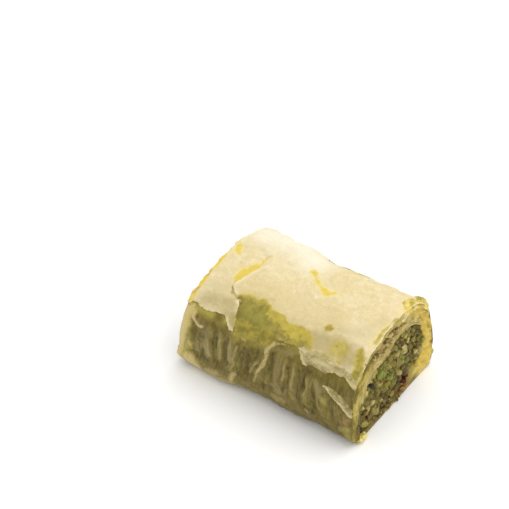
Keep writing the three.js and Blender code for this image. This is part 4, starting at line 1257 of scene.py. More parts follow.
SHOULDER_FLAP = (
    (8.5, 21.7), (9.4, 20.7), (10.4, 19.6), (11.3, 18.7), (12.2, 18.8), (13.1, 19.2), (14.8, 19),
    (16.2, 18.7), (17.4, 19.4), (19.4, 20), (21.2, 19.9), (22.8, 19.4), (24.4, 18.7), (24.4, 20.4),
    (23, 21.2), (20.6, 22.4), (17, 22.9), (12, 22.9), (9.8, 22.5),
)  # fmt: skip
# Where the flap and the side flake are stuck down, and how far out from there.
FLAP_HEEL = (((13.0, 18.2), (17.0, 17.8), (21.0, 17.8), (24.6, 17.4)), 1.6)
FLAKE_TOP = (((17.0, 17.4), (20.0, 17.2), (22.4, 16.2), (24.6, 14.4)), 2.4)
CORNER_CRUMPLE = (
    (21.6, 42.4), (23.4, 40.6), (25, 39.6), (25.3, 42.4), (25.3, 46), (25.3, 49.6), (25.1, 53),
    (23.2, 54.4), (21.6, 52.8), (20.6, 50), (21, 47), (20.9, 44.6),
)  # fmt: skip
SIDE_FLAKE = (
    (16.4, 15.8), (17.7, 15.5), (18.4, 14.7), (19.6, 13.9), (21, 13.1), (22, 12.3), (22.9, 11.4),
    (24.3, 10.9), (24.5, 12.8), (24.2, 14), (23.4, 15), (22.4, 15.6), (21.6, 15.4), (20.6, 16.6),
    (19, 17), (17.5, 16.7),
)  # fmt: skip
BACK_FLAKES = (
    tuple((20.4 - x, GIRTH - s + 0.6) for x, s in SIDE_FLAKE),
    tuple((4.2 - x, GIRTH - s + 2.6) for x, s in SHOULDER_FLAP),
    tuple((x - 4.6, GIRTH - s - 1.0) for x, s in SIDE_FLAKE),
)
# Where the flakes of the back are stuck down.
BACK_HEELS = (
    (((2, GIRTH - 17), (-4, GIRTH - 14.6)), 2),
    (((-8.8, GIRTH - 15.6), (-12.8, GIRTH - 15.2), (-20.4, GIRTH - 14.8)), 1.6),
    (((12.4, GIRTH - 18.2), (19, GIRTH - 15.6)), 2.2),
)
SHEET_STAINS = (
    ("olive", ((-9.4, 22.4), (-6.6, 22.2), (-4.4, 22.8), (-2.6, 21.6), (0.6, 21.4)), 3.6, 1.15),
    ("olive", ((0.6, 20.8), (3.4, 21), (9.4, 21.6)), 2.2, 0.9),
    ("amber", ((-9.8, 24), (-7.4, 24.6), (-4.4, 25.6)), 1.6, 1.2),
    ("amber", ((-3, 24.4), (0.6, 24), (3.4, 22.8), (6.2, 23.3), (8.2, 23.2)), 2.2, 1.9),
    ("olive", ((-3.6, 24.2), (-1.4, 23.8), (0.8, 24.2)), 0.9, 0.7),
    ("olive", ((0.8, 24.2), (3, 23.2)), 0.9, 0.7),
    ("olive", ((5.8, 24.4), (7.6, 24)), 0.7, 0.55),
    ("olive", ((9.6, 23.6), (9.8, 22.2)), 0.9, 0.6),
    ("olive", ((-10.2, 23.8), (-7.4, 24.4), (-4.8, 25.2)), 2.5, 1.12),
    # Painted sheen over drier pastry at the back left of the top.
    ("chalk_and_sheen", ((-18, 45), (-9, 45.5), (-3, 44)), 5, 1),
    ("warm", ((-9, 29), (-2, 30.5), (6, 30), (12, 31)), 3.4, 0.75),
    ("warm", ((3, 42), (9, 40)), 2.4, 0.4),
    ("warm", ((-18, 38), (-14, 41)), 1.6, 0.5),
    ("green", ((-8, 21.4), (-5, 22), (-3, 23.4)), 2.4, 0.6),
    ("green", ((-8, 19.6), (-4, 18.4), (-1, 19.4)), 1.8, 0.45),
    ("golden", ((-0.8, 40.3), (0.2, 39.5)), 1, 0.9),
    ("golden", ((0.2, 39.5), (1.6, 38.4), (3, 37.4), (4.8, 36.6)), 0.72, 0.74),
    ("golden", ((5, 36.5), (6.8, 36.3)), 1.05, 0.95),
    ("golden", ((6.8, 36.3), (8.4, 36.9)), 0.8, 0.82),
    ("golden", ((-20.2, 37.4), (-19.6, 36.6), (-19, 35.4)), 0.9, 0.85),
    ("golden", ((-21.2, 20.4), (-21, 25), (-21.2, 29), (-21.2, 33.6)), 0.75, 0.95),
    ("golden", ((-20.3, 20.8), (-20.2, 22.4)), 0.7, 0.7),
    ("golden", ((-13.8, 29.8), (-13.7, 31.6), (-13.2, 33), (-12.6, 34)), 1.3, 1.05),
    ("golden", ((-13.8, 28.2), (-13.8, 29.8)), 0.6, 0.75),
    ("golden", ((-12.5, 34.2), (-12, 35.6), (-12, 37)), 0.55, 0.72),
    ("rust", ((-12.2, 36.6), (-11.6, 38)), 0.5, 0.35),
    # Painted shadow in the split at the lower end of the tear, in the soaked sheet's colour.
    ("crack_shadow", ((-13.6, 26.8), (-13, 26.3), (-12.2, 25.7)), 0.3, 0.62),
    ("crack_shadow", ((-12.2, 25.7), (-11, 25)), 0.25, 0.55),
    ("golden", ((-12.2, 25.8), (-10, 24.4)), 0.35, 0.6),
    # Painted highlight along the raised lip of the tear.
    ("pale", ((-13.5, 27.8), (-12.9, 29.4), (-12.1, 31.6), (-11.2, 33.4), (-9.9, 34.8)), 0.45, 0.75),
    ("golden", ((23.4, 29), (23.8, 36)), 0.8, 0.45),
    ("golden", ((24.2, 40), (24.2, 46.6)), 1.4, 0.45),
    ("golden", ((-11.6, 44.8), (-8.6, 46.4)), 0.8, 0.3),
    ("amber", ((-0.6, 48.8), (2.6, 48.2), (6, 48.2), (9.4, 48.6)), 1.1, 1.2),
    ("olive", ((0, 48.9), (3, 48.3), (8, 48.4)), 0.9, 0.9),
    ("olive", ((19.8, 52), (22.6, 51.4)), 1, 0.8),
    ("rust", ((-20.9, 27), (-20.8, 28.4)), 0.4, 0.6),
    ("rust", ((-20.8, 22.4), (-20.7, 23.6)), 0.4, 0.6),
    ("rust", ((-0.8, 40.1), (-0.2, 39.7)), 0.35, 0.35),
    ("rust", ((12.6, 28.6), (12.8, 28.3)), 0.4, 0.5),
    ("olive", ((12.3, 28.7), (12.9, 28.3)), 0.9, 0.62),
    ("olive", ((16.3, 25.6), (17.3, 26.9), (18.6, 26)), 0.8, 0.42),
    ("olive", ((18.6, 26), (18.3, 24.7), (17, 24.3), (16.3, 25.6)), 0.8, 0.42),
    ("tint", ((16.6, 25.2), (17.8, 24.6)), 2, 0.66),
    ("tint", ((16, 23.4), (18.8, 23.6)), 1.4, 0.42),
    ("tint", ((-9.6, 25.8), (-6, 26.4), (-4.2, 26), (-1.6, 26), (1.4, 25)), 1.7, 0.5),
    ("tint", ((1.4, 25), (8, 24.4), (9.6, 23.6)), 1.7, 0.5),
    ("olive", ((24.2, 19.4), (23.6, 21.6), (22.9, 24), (22.6, 26.4)), 1.5, 0.62),
    # Painted shadow: an olive line on the sheet just above the shoulder flap's raised upper edge.
    ("olive", ((14.2, 22.5), (18.8, 22.4)), 0.35, 0.5),
    ("olive", ((24.2, 38), (24, 30)), 0.7, 0.4),
    ("stuck", ((10.8, 24.6), (14, 25.4), (18, 24.8), (21.4, 25)), 3.2, 0.9),
    ("stuck", ((-17, 22.4), (-12, 23.4), (-10.4, 21.4)), 2.4, 0.72),
    ("stuck", ((-17.6, 26), (-14.8, 26.4)), 2, 0.35),
    ("stuck", ((-9.6, 21.6), (-8.4, 19.2), (-7.8, 18)), 1.2, 1.1),
    ("soaked", ((-8.9, 21), (-8.2, 19.4), (-7.7, 18)), 0.8, 0.6),
    ("pale", ((-10.6, 20.3), (-9.4, 19.1), (-8.2, 18)), 0.35, 0.55),
    ("stuck", ((-7.6, 27.6), (-3.4, 28.6)), 1.2, 0.4),
    ("stuck", ((4, 26.8), (10, 28.2), (19, 30)), 2, 0.4),
    ("stuck", ((20, 30.5), (22, 36)), 2.2, 0.35),
    ("stuck", ((8.8, 46.2), (-2, 47.4)), 1.2, 0.4),
    ("stuck", ((19, 48), (12, 46)), 1.6, 0.3),
    # Painted highlights: the pale specks below are small glints of light.
    ("pale", ((-10.2, 24.9), (-9.6, 24.3)), 0.4, 0.8),
    ("pale", ((-0.6, 33.2), (-0.4, 33)), 0.3, 0.9),
    ("pale", ((4.6, 34.2), (5.2, 33.9)), 0.3, 0.9),
    ("pale", ((22.4, 28.4), (23.8, 26.6)), 0.5, 0.6),
)
LEFT_STAINS = tuple(stain for stain in SHEET_STAINS if stain[0] not in ("olive", "green", "amber", "tint"))
FLAP_STAINS = (
    ("golden", ((22.6, 20.2), (24, 19.6)), 0.7, 0.5),
    ("olive", ((21, 21.4), (19, 21)), 0.8, 0.4),
    ("olive", ((18.4, 16.4), (21, 15.4), (23.8, 13.6)), 1.3, 0.75),
    ("olive", ((15.6, 18.4), (19, 18.3), (22.4, 18)), 0.9, 0.8),
    # Painted highlights: pale lines along the flap's middle ridge and along the edges of the flap and the
    # side flake.
    ("pale", ((13.4, 21), (16.4, 20.7), (19.4, 20.1)), 0.4, 0.6),
    ("pale", ((8.8, 21.6), (10.8, 21.8)), 0.3, 0.8),
    ("pale", ((16.8, 21.9), (19.6, 21.9)), 0.3, 0.8),
    ("pale", ((9.2, 20.8), (11.4, 18.8)), 0.35, 0.8),
    ("pale", ((22, 20), (24.2, 19.4)), 0.5, 0.7),
    ("pale", ((16.6, 15.7), (17.9, 15.4), (18.6, 14.6), (21, 13.2), (23, 11.6), (24.2, 11.2)), 0.35, 0.9),
    ("pale", ((21.2, 15.4), (21.9, 14)), 0.25, 0.5),
)
CRUMPLE_STAINS = (
    ("golden", ((23, 43.6), (24.8, 47), (24.4, 52.6)), 1.7, 0.68),
    ("golden", ((24.4, 42), (24.6, 44)), 0.9, 0.9),
    ("olive", ((24.6, 48), (23.2, 50.2), (23.6, 52.6)), 1.3, 1),
    ("olive", ((25, 43), (24, 45.4), (22.6, 46.2)), 0.8, 0.9),
    ("olive", ((22, 44), (23, 43.2)), 0.5, 0.6),
)
CRUMPLE_EDGES = (
    (CORNER_CRUMPLE[:6:-1], 2.2),
    (CORNER_CRUMPLE[:3], 1.8),
    (CORNER_CRUMPLE[2:7], 0.9),
)
SHEET_KINDS = (
    "tint", "soaked", "amber", "golden", "rust", "crack_shadow", "olive", "stuck", "pale", "warm", "green", "chalk_and_sheen",
)  # fmt: skip


def sheet_piece(
    name, outline, material, stains, thickness,
    level, ragged, pitch, salt, lift, wrinkle, follow=0.0, sunk=(), ridges=(),
):  # fmt: skip
    """One sheet, flap or flake laid on the roll, stuck down at its edge apart from where it lifts."""
    ob, x, s, depth = cut_grid(name, outline, pitch, ragged, salt)
    fold = 0.13 * layered(x * 0.33, s * 0.28, salt + 10, 4)
    fold = fold + 0.17 * creases(x * 0.3, s * 0.22, salt + 20) + 0.1 * creases(x * 0.75, s * 0.6, salt + 21)
    fold = fold + 0.05 * layered(x * 1.3, s * 1.1, salt + 22, 2)
    loose = smooth(ripple(x * 0.35, s * 0.35, salt + 30), -0.3, 0.9)
    body = level * (0.3 + 0.7 * smooth(depth, 0.0, 1.8)) + wrinkle * fold * smooth(depth, 0.0, 2.0)
    height = broad(x, s) + body + lift * bell(depth, 1.1) * loose
    if follow:
        height = height + follow * pleated(x, s)[0]
    height = height + ridge(ridges, x, s)[0]
    bound = np.ones(x.shape)
    for line, width in sunk:
        away = trace(line, x, s)
        height = height - (level + 0.2) * (1 - smooth(away, 0.5, width))
        bound = bound * smooth(away, width * 0.7, width * 1.2)
    mould(ob, on_skin(x, s, height))
    face_outwards(ob, RIM_CENTRE)
    masks = stain_masks(SHEET_KINDS, stains, x, s, salt + 40)
    # Painted highlight: a pale line along each sheet's loose edges, where the dry edges catch the light.
    edge = bell(depth, 0.2) * (0.15 + 0.85 * loose) * bound
    masks["pale"] = np.clip(masks["pale"] + 0.55 * edge, 0, 1)
    mark(ob, skin_place=np.stack([x, s, x * 0], -1), **masks)
    thicken(ob, thickness)
    finish_piece(ob, material)


def make_sheets(sizes, colours):
    """The two dry sheets with the tear between them, the flaps and the flakes."""
    dry, flap = dry_sheet_material(colours), flap_material(colours)
    thick, thin = sizes.dry_thickness, sizes.flap_thickness
    sheet_piece(
        "left_sheet", LEFT_SHEET, dry, LEFT_STAINS, thick, level=0.28, ragged=0.4, pitch=0.22, salt=400,
        lift=0.05, wrinkle=0.7, sunk=(TIP_EDGE,), ridges=TEAR_DIP,
    )  # fmt: skip
    sheet_piece(
        "main_sheet", MAIN_SHEET, dry, SHEET_STAINS, thick, level=0.4, ragged=0.34, pitch=0.28, salt=500,
        lift=0.14, wrinkle=1.0, sunk=(SOAKED_EDGE, BAKED_EDGE), ridges=TEAR_LIP,
    )  # fmt: skip
    sheet_piece(
        "shoulder_flap", SHOULDER_FLAP, flap, FLAP_STAINS, thin, level=0.3, ragged=0.42, pitch=0.17, salt=600,
        lift=0.14, wrinkle=0.8, sunk=(FLAP_HEEL,),
    )  # fmt: skip
    sheet_piece(
        "side_flake", SIDE_FLAKE, flap, FLAP_STAINS, thin, level=0.22, ragged=0.4, pitch=0.15, salt=640,
        lift=0.16, wrinkle=0.8, follow=0.6, sunk=(FLAKE_TOP,),
    )  # fmt: skip
    sheet_piece(
        "corner_crumple", CORNER_CRUMPLE, dry, CRUMPLE_STAINS, thin, level=0.75, ragged=0.3, pitch=0.16,
        salt=720,
        lift=0.0, wrinkle=3.4, sunk=CRUMPLE_EDGES,
    )  # fmt: skip
    for n, (outline, heel) in enumerate(zip(BACK_FLAKES, BACK_HEELS)):
        # Painted highlight along part of each back flake's edge.
        stains = (("pale", outline[:6], 0.5, 0.8), ("olive", heel[0], 1.4, 0.8))
        sheet_piece(
            f"back_flake_{n + 1}", outline, flap, stains, thin, level=0.24, ragged=0.4, pitch=0.2,
            salt=760 + 9 * n, lift=0.18, wrinkle=0.8, follow=0.5, sunk=(heel,),
        )  # fmt: skip


# ---------------------------------------------------------------- inner ply

# Faces of the inner ply: across its section, along the roll, and through its thickness.
PLY_ACROSS, PLY_LENGTH, PLY_LAYERS = 110, 36, 10
PLY_ROW = 0.3


def make_ply(sizes, colours):
    """The inner ply that parts the two fillings, with a ragged end at each cut."""
    across, length, layers = PLY_ACROSS, PLY_LENGTH, PLY_LAYERS
    line = hermite(PLY_LINE, across + 1)
    way = np.gradient(line, axis=0)
    way /= np.hypot(*way.T)[:, None]
    normal = np.stack([-way[:, 1], way[:, 0]], -1)
    half = np.interp(np.linspace(0, 1, across + 1), np.linspace(0, 1, len(PLY_HALF)), PLY_HALF)
    half = half * (sizes.ply_share + 0.12 * ripple(np.arange(across + 1) * 0.09, 0.0, 5))
    around = 2 * (layers + length)
    ob, a, b = new_grid("inner_ply", across, around)
    k = np.rint(a * across).astype(int)
    j = np.rint(b * around).astype(int) % around
    # Round the ply: along its top, through it at the right end, back along below it, and up at the left end.
    stretch = [j < length, j < length + layers, j < 2 * length + layers]
    along_run = np.select(stretch, [j / length, 1.0, 1 - (j - length - layers) / length], 0.0)
    left_rise = -1 + 2 * (j - 2 * length - layers) / layers
    up = np.select(stretch, [1.0, 1 - 2 * (j - length) / layers, -1.0], left_rise)
    y, z = (line[k] + normal[k] * (up * half[k])[:, None]).T
    run = k * PLY_ROW
    layer = (up + 1) * 1.6 + 0.5 * ripple(run * 0.3, run * 0, 6)
    leaf = np.floor(layer)
    part = layer - leaf
    gap = bell(np.minimum(part, 1 - part), 0.14)
    stand = 0.3 * ripple(run * 0.35, leaf * 4.3, 7) + 0.15 * ripple(run * 1.4, leaf * 2.3, 8)
    stand = stand - 0.35 * gap + 0.05
    x = mix(left_end(y, z) - stand, right_end(y, z) + stand, along_run)
    mould(ob, np.stack([x, y, z], -1))
    cut = (along_run == 0) | (along_run == 1)
    # Painted shade in the gaps between the leaves at the cut ends.
    mark(ob, end_place=np.stack([y, z, x * 0.3], -1), groove=gap * cut * 0.8)
    close_seams(ob)
    cap_ends(ob)
    consistent(ob)
    finish_piece(ob, ply_material(colours))


# ---------------------------------------------------------------- fillings

# Gaps in the right end of the filling, sunk and darkened as painted shade: line as (y, z), half width.
END_GAPS = (
    (((-10.6, 13.8), (-9, 12.2), (-7.9, 10.9), (-7.4, 8.5)), 0.55),
    (((-2, 10.4), (-1.3, 9.7)), 0.5),
    (((0.1, 17), (0.9, 15.8), (1.7, 14.5)), 0.5),
    (((-6.8, 16.4), (-5.4, 15.5)), 0.45),
    (((3.4, 5), (1.6, 4.4), (0.1, 3.3)), 0.6),
    (((8.7, 13.4), (9.4, 12.8)), 0.5),
    (((7.4, 17.6), (8.2, 17.1)), 0.4),
    (((-0.2, 18.6), (0.7, 18.9)), 0.35),
    (((-15.4, 4.8), (-15, 3.4)), 0.8),
    (((-5.2, 6.4), (-4.2, 5.6)), 0.4),
    (((4.4, 9.6), (5.4, 8.8)), 0.4),
)
# Gaps in the right end of the pocket, sunk and darkened as painted shade.
FOLD_GAPS = (
    (((-8.6, 21.2), (-7, 22.2), (-5, 23), (-2.4, 23.3), (0.4, 23)), 0.4),
    (((-7.4, 20.6), (-5.6, 20), (-4.8, 19.8)), 0.5),
    (((-0.6, 21.2), (0.4, 21)), 0.3),
)
# Colours of the browner crumbs in the pocket.
TAN, TAN_LIGHT = (0.42, 0.29, 0.09), (0.58, 0.43, 0.15)
# Small crumbs against the coarse ones.
FINER = 0.45


def crumb_tone(y, z):
    """Greener towards 1, browner towards -1, over the section of the filling."""
    middle = np.exp(-(((y + 3.5) / 6.5) ** 2) - ((z - 11.5) / 4.5) ** 2)
    foot = 1 - smooth(z + 0.25 * (y + 8), 2.0, 6.5)
    return middle - foot


def crumb_relief(y, z, side, gaps, coarse, salt):
    """How far the crumbs of a cut end stand out, how much painted shade lies in their gaps and holes, and
    where their colour lies.
    """
    near, gap, own, rise = crumb_cells(y, z, coarse, salt)
    fine_near, fine_gap, fine_own, fine_rise = crumb_cells(y + 3.3, z + 1.7, coarse * FINER, salt + 7)
    height = 0.7 * (rise - 0.5) + 0.5 * np.sqrt(np.clip(1 - near * near * 1.6, 0, 1)) - 0.3
    height = height + 0.3 * (fine_rise - 0.5) + 0.25 * np.sqrt(np.clip(1 - fine_near**2 * 1.6, 0, 1))
    height = height - 0.4 * bell(gap, 0.14) - 0.1
    # Painted shade: the gaps between crumbs and the holes below are darkened.
    painted_shade = 0.5 * bell(gap, 0.12) + 0.25 * bell(fine_gap, 0.14)
    wander_y = y + 0.55 * ripple(y * 0.9, z * 0.9, 3)
    wander_z = z + 0.55 * ripple(y * 0.9, z * 0.9, 4)
    for line, half in gaps if side > 0 else ():
        hole = 1 - smooth(trace(line, wander_y, wander_z), half * 0.4, half * 1.5)
        height = height - 0.7 * hole
        painted_shade = np.maximum(painted_shade, hole)
    if side < 0:
        hole = smooth(ripple(y * 0.45, z * 0.45, salt + 11), 0.55, 0.85)
        height, painted_shade = height - 1.4 * hole, np.maximum(painted_shade, hole)
    kind = 0.28 + 0.3 * (own - 0.3) + 0.16 * fine_own + 0.2 * crumb_tone(y, z)
    kind = kind + 0.35 * smooth(own, 0.84, 0.88)
    return height, np.clip(painted_shade, 0, 1), np.clip(kind, 0, 1)


def filling_body(name, outline, node, gaps, material, coarse, pitch, sink, salt):
    """Filling that runs through the roll, with a crumbly face at both ends."""
    ob, y, z, _ = cut_grid(name, outline, pitch, 0.0, salt)
    alone(ob)
    bpy.ops.object.mode_set(mode="EDIT")
    bpy.ops.mesh.select_all(action="SELECT")
    bpy.ops.mesh.duplicate()
    bpy.ops.transform.translate(value=(0, 0, -1))
    select_rims()
    bpy.ops.mesh.bridge_edge_loops()
    bpy.ops.object.mode_set(mode="OBJECT")
    below = fetch(ob.data.vertices, "co")[:, 2] < -0.5
    y, z = np.tile(y, 2), np.tile(z, 2)
    points = np.zeros((len(below), 3))
    values = {"kind": np.zeros(len(below)), "painted_shade": np.zeros(len(below))}
    for side, chosen in ((1, ~below), (-1, below)):
        end_y, end_z = y[chosen], z[chosen]
        height, painted_shade, kind = crumb_relief(end_y, end_z, side, gaps, coarse, salt + 5 * side)
        x = cut_end(end_y, end_z, side) + side * (height - sink)
        points[chosen] = np.stack([x, end_y, end_z], -1)
        values["kind"][chosen], values["painted_shade"][chosen] = kind, painted_shade
    mould(ob, points)
    mark(ob, end_place=np.stack([points[:, 1], points[:, 2], points[:, 0] * 0.4], -1), **values)
    consistent(ob)
    finish_piece(ob, material, (node,))


def make_fillings(colours):
    """The core of ground pistachio, and the browner filling in the fold."""
    c = colours
    core_stops = (
        (0.02, c.nut_dark_and_gap_shade), (0.22, c.nut_brown), (0.44, c.nut_olive), (0.62, c.nut_green), (0.82, c.nut_pale),
    )  # fmt: skip
    fold_stops = ((0.0, c.nut_dark_and_gap_shade), (0.14, c.nut_brown), (0.36, TAN), (0.66, TAN_LIGHT), (0.88, c.ply_light))
    core = paste_material("pistachio filling", core_stops, c.nut_dark_and_gap_shade)
    fold = paste_material("browner pistachio filling", fold_stops, c.nut_dark_and_gap_shade)
    filling_body(
        "core_filling", CORE_OUTLINE, "filling", END_GAPS, core,
        coarse=2.3, pitch=0.24, sink=0.55, salt=800,
    )  # fmt: skip
    filling_body(
        "pocket_filling", FOLD_OUTLINE, "fold_filling", FOLD_GAPS, fold,
        coarse=1.3, pitch=0.16, sink=0.45, salt=840,
    )  # fmt: skip


# ---------------------------------------------------------------- nut chips

CHIP_KINDS = 6
CHIP_SIDES = 7
# Chunks that stand out at the right end: kind, middle as (y, z), half sizes, turn about x.
RIGHT_CHUNKS = (
    ("green", (-6.4, 14.2), (0.9, 1.7, 1.2), 0.6),
    ("green", (-4.6, 12.6), (0.8, 1.1, 0.8), 0.3),
    ("olive", (-0.6, 17.2), (0.8, 1.6, 1), -0.9),
    ("pale", (3.7, 14.1), (0.8, 0.9, 1.1), 0.4),
    ("brown", (5.6, 12.6), (0.8, 1.3, 0.9), -0.8),
    ("brown", (2.2, 17.6), (0.7, 1, 0.7), -0.6),
    ("olive", (7.6, 13.4), (0.8, 1.3, 0.9), -0.8),
    ("green", (11.2, 10.6), (0.6, 1.7, 0.6), -1.1),
    ("skin", (3.7, 3.4), (0.9, 1.1, 1.1), -0.7),
    ("skin", (4.9, 4.2), (0.7, 0.8, 0.7), 0.4),
    ("rust", (3, 1.9), (0.9, 0.9, 0.7), -0.4),
    ("rust", (4.4, 1.8), (0.9, 0.9, 0.6), 0.5),
    ("rust", (1.9, 1.2), (0.7, 0.7, 0.5), 0.2),
    ("brown", (-12.4, 7.4), (0.7, 1.1, 0.9), 0.5),
    ("pale", (5.4, 15.2), (0.7, 0.9, 0.8), 0.3),
    ("pale", (4.4, 17), (0.7, 0.8, 0.7), -0.5),
    ("pale", (-9.4, 7.6), (0.7, 1, 0.8), 0.2),
    ("pale", (-12.4, 12.6), (0.7, 1.1, 0.8), 0.5),
    ("green", (2.4, 10.6), (0.8, 1.4, 0.9), -0.5),
    ("olive", (-2.8, 15.4), (0.8, 1.2, 0.9), 0.8),
    ("pale", (8.4, 9.4), (0.7, 0.9, 0.7), 0.1),
    ("green", (-16, 3.6), (0.6, 0.9, 0.7), 0.1),
    ("olive", (-3.6, 8.6), (0.8, 1.3, 0.9), 0.3),
    ("brown", (-10.6, 4.6), (0.8, 1.2, 0.9), 0.2),
    ("pale", (-1.2, 3.6), (0.6, 0.8, 0.6), 0.7),
)
# How deep the chunks of a kind are set in, where it isn't the usual depth.
CHUNK_SINK = {"skin": 0.35, "rust": 0.1}
USUAL_SINK = 0.2
# Share of each kind of chip in the core, and in the pocket to the front and to the back of POCKET_TURN.
CHIP_SHARES = {"green": 0.11, "olive": 0.42, "pale": 0.18, "brown": 0.286, "skin": 0.004}
FRONT_POCKET_SHARES = (0.02, 0.2, 0.24, 0.54, 0.0)
BACK_POCKET_SHARES = (0.02, 0.16, 0.66, 0.16, 0.0)
POCKET_TURN = -3.6
# Chips are strewn one to a square of this side, with half sizes between two values, inside an outline.
CORE_LINE, FOLD_LINE = (
    [tuple(p) for p in hermite(outline, count, closed=True)]
    for outline, count in ((CORE_OUTLINE, 80), (FOLD_OUTLINE, 60))
)
CHIP_ROWS = (
    (2.3, 0.65, 1.35, CORE_LINE, False),
    (1.7, 0.3, 0.6, CORE_LINE, False),
    (1.5, 0.35, 0.7, FOLD_LINE, True),
)
# No strewn chip lies nearer than this to the middle of a named chunk.
CHUNK_ROOM = 1.5


def chip_template(subdivisions, planes):
    """A nut fragment: a small ball cut flat on a few sides."""
    alone()
    bpy.ops.mesh.primitive_ico_sphere_add(subdivisions=subdivisions, radius=1)
    ob = bpy.context.object
    bpy.ops.object.mode_set(mode="EDIT")
    for place, normal in planes:
        bpy.ops.mesh.select_all(action="SELECT")
        bpy.ops.mesh.bisect(plane_co=place, plane_no=normal, use_fill=True, clear_outer=True)
    bpy.ops.mesh.select_all(action="SELECT")
    bpy.ops.mesh.quads_convert_to_tris()
    bpy.ops.mesh.normals_make_consistent(inside=False)
    bpy.ops.object.mode_set(mode="OBJECT")
    points = fetch(ob.data.vertices, "co").astype(float)
    faces = np.array([tuple(p.vertices) for p in ob.data.polygons], int)
    bpy.data.objects.remove(ob)
    return points, faces


def chip_cuts(which):
    """Flat sides of one nut fragment, drawn by rule: a point on each side and its direction."""
    draw = np.random.default_rng(100 + which)
    cuts = []
    for _ in range(CHIP_SIDES):
        way = draw.normal(size=3)
        way /= np.linalg.norm(way)
        cuts.append((tuple(way * draw.uniform(0.35, 0.8)), tuple(way)))
    return cuts


def turn_matrix(ax, ay, az):
    """Turns about x, then y, then z."""
    (cx, cy, cz), (sx, sy, sz) = ([f(angle) for angle in (ax, ay, az)] for f in (math.cos, math.sin))
    rx = np.array([[1, 0, 0], [0, cx, -sx], [0, sx, cx]])
    ry = np.array([[cy, 0, sy], [0, 1, 0], [-sy, 0, cy]])
    rz = np.array([[cz, -sz, 0], [sz, cz, 0], [0, 0, 1]])
    return rz @ ry @ rx


def scatter_piece(name, chips, templates, material):
    """Joins copies of the nut fragments into one piece. A chip is place, half sizes, turn, tone, template."""
    points, faces, tones, shift = [], [], [], 0
    for place, half, turn, tone, which in chips:
        shape, sides = templates[which]
        points.append((shape * np.array(half)) @ turn_matrix(*turn).T + np.array(place))
        faces.append(sides + shift)
        tones.append(np.full(len(shape), tone))
        shift += len(shape)
    points = np.concatenate(points)
    mesh = bpy.data.meshes.new(name)
    mesh.from_pydata(points.tolist(), [], np.concatenate(faces).tolist())
    ob = bpy.data.objects.new(name, mesh)
    bpy.context.scene.collection.objects.link(ob)
    mould(ob, points)
    mark(ob, tone=np.concatenate(tones))
    finish_piece(ob, material)
    alone(ob)
    bpy.ops.object.shade_smooth_by_angle(angle=math.radians(30))
    alone()


def chip_weights(y, z, in_pocket):
    """How likely each kind of chip is at a place: greener in the middle of the core, browner at its foot."""
    if in_pocket:
        weights = np.array(FRONT_POCKET_SHARES if y < POCKET_TURN else BACK_POCKET_SHARES)
    else:
        tone = float(crumb_tone(y, z))
        weights = np.array(list(CHIP_SHARES.values()))
        weights = weights + np.array([0.2 * max(tone, 0), 0, 0, 0.4 * max(-tone, 0), 0])
    return weights / weights.sum()


def chip_fits(y, z, size, side, outline):
    """Whether a chip lies inside its filling, and at the right end clear of the gaps and the named chunks."""
    at_y, at_z = np.array([y]), np.array([z])
    if outside(outline, at_y, at_z)[0] > -size * 0.75:
        return False
    if side < 0:
        return True
    gap = min(trace(line, at_y, at_z)[0] - half for line, half in END_GAPS)
    chunk = min(math.hypot(y - middle[0], z - middle[1]) for _, middle, _, _ in RIGHT_CHUNKS)
    return gap >= size * 0.85 and chunk >= CHUNK_ROOM


def scatter_plan():
    """Where each chip of both ends lies, drawn by rule from a fixed seed."""
    draw = np.random.default_rng(20)
    names = list(CHIP_SHARES)
    plan = {kind: [] for kind in (*names, "rust")}

    def add(kind, y, z, half, side, sink, turn_x=None):
        turn = draw.uniform(0, 2 * math.pi, 3)
        if turn_x is not None:
            turn = (turn_x, 0.0, 0.0)
        place = (float(cut_end(y, z, side)) - side * sink, y, z)
        tone, which = float(draw.uniform(0, 0.7)), int(draw.integers(0, CHIP_KINDS))
        plan[kind].append((place, half, tuple(turn), tone, which))

    for kind, (y, z), half, turn in RIGHT_CHUNKS:
        add(kind, y, z, half, 1, CHUNK_SINK.get(kind, USUAL_SINK), turn)
    for side in (1, -1):
        for cell, low, high, outline, in_pocket in CHIP_ROWS:
            for y, z in ((y, z) for y in np.arange(-18, 15, cell) for z in np.arange(1, 25, cell)):
                py, pz = y + draw.uniform(0, cell), z + draw.uniform(0, cell)
                size = draw.uniform(low, high)
                kind = names[int(draw.choice(len(names), p=chip_weights(py, pz, in_pocket)))]
                half = tuple(size * draw.uniform(0.6, 1.45, 3))
                sink = draw.uniform(0.3, 0.8) * size
                if chip_fits(py, pz, size, side, outline):
                    add(kind, py, pz, half, side, sink)
        for y in np.arange(-14.8, 4.0, 1.0):
            size = draw.uniform(0.3, 0.65)
            kind = ("brown", "olive", "brown", "pale")[int(draw.integers(0, 4))]
            half = tuple(size * draw.uniform(0.7, 1.2, 3))
            py, pz = y + draw.uniform(-0.4, 0.4), size * 0.8 + draw.uniform(0, 0.8)
            add(kind, py, pz, half, side, -draw.uniform(-0.35, 0.2))
    return plan


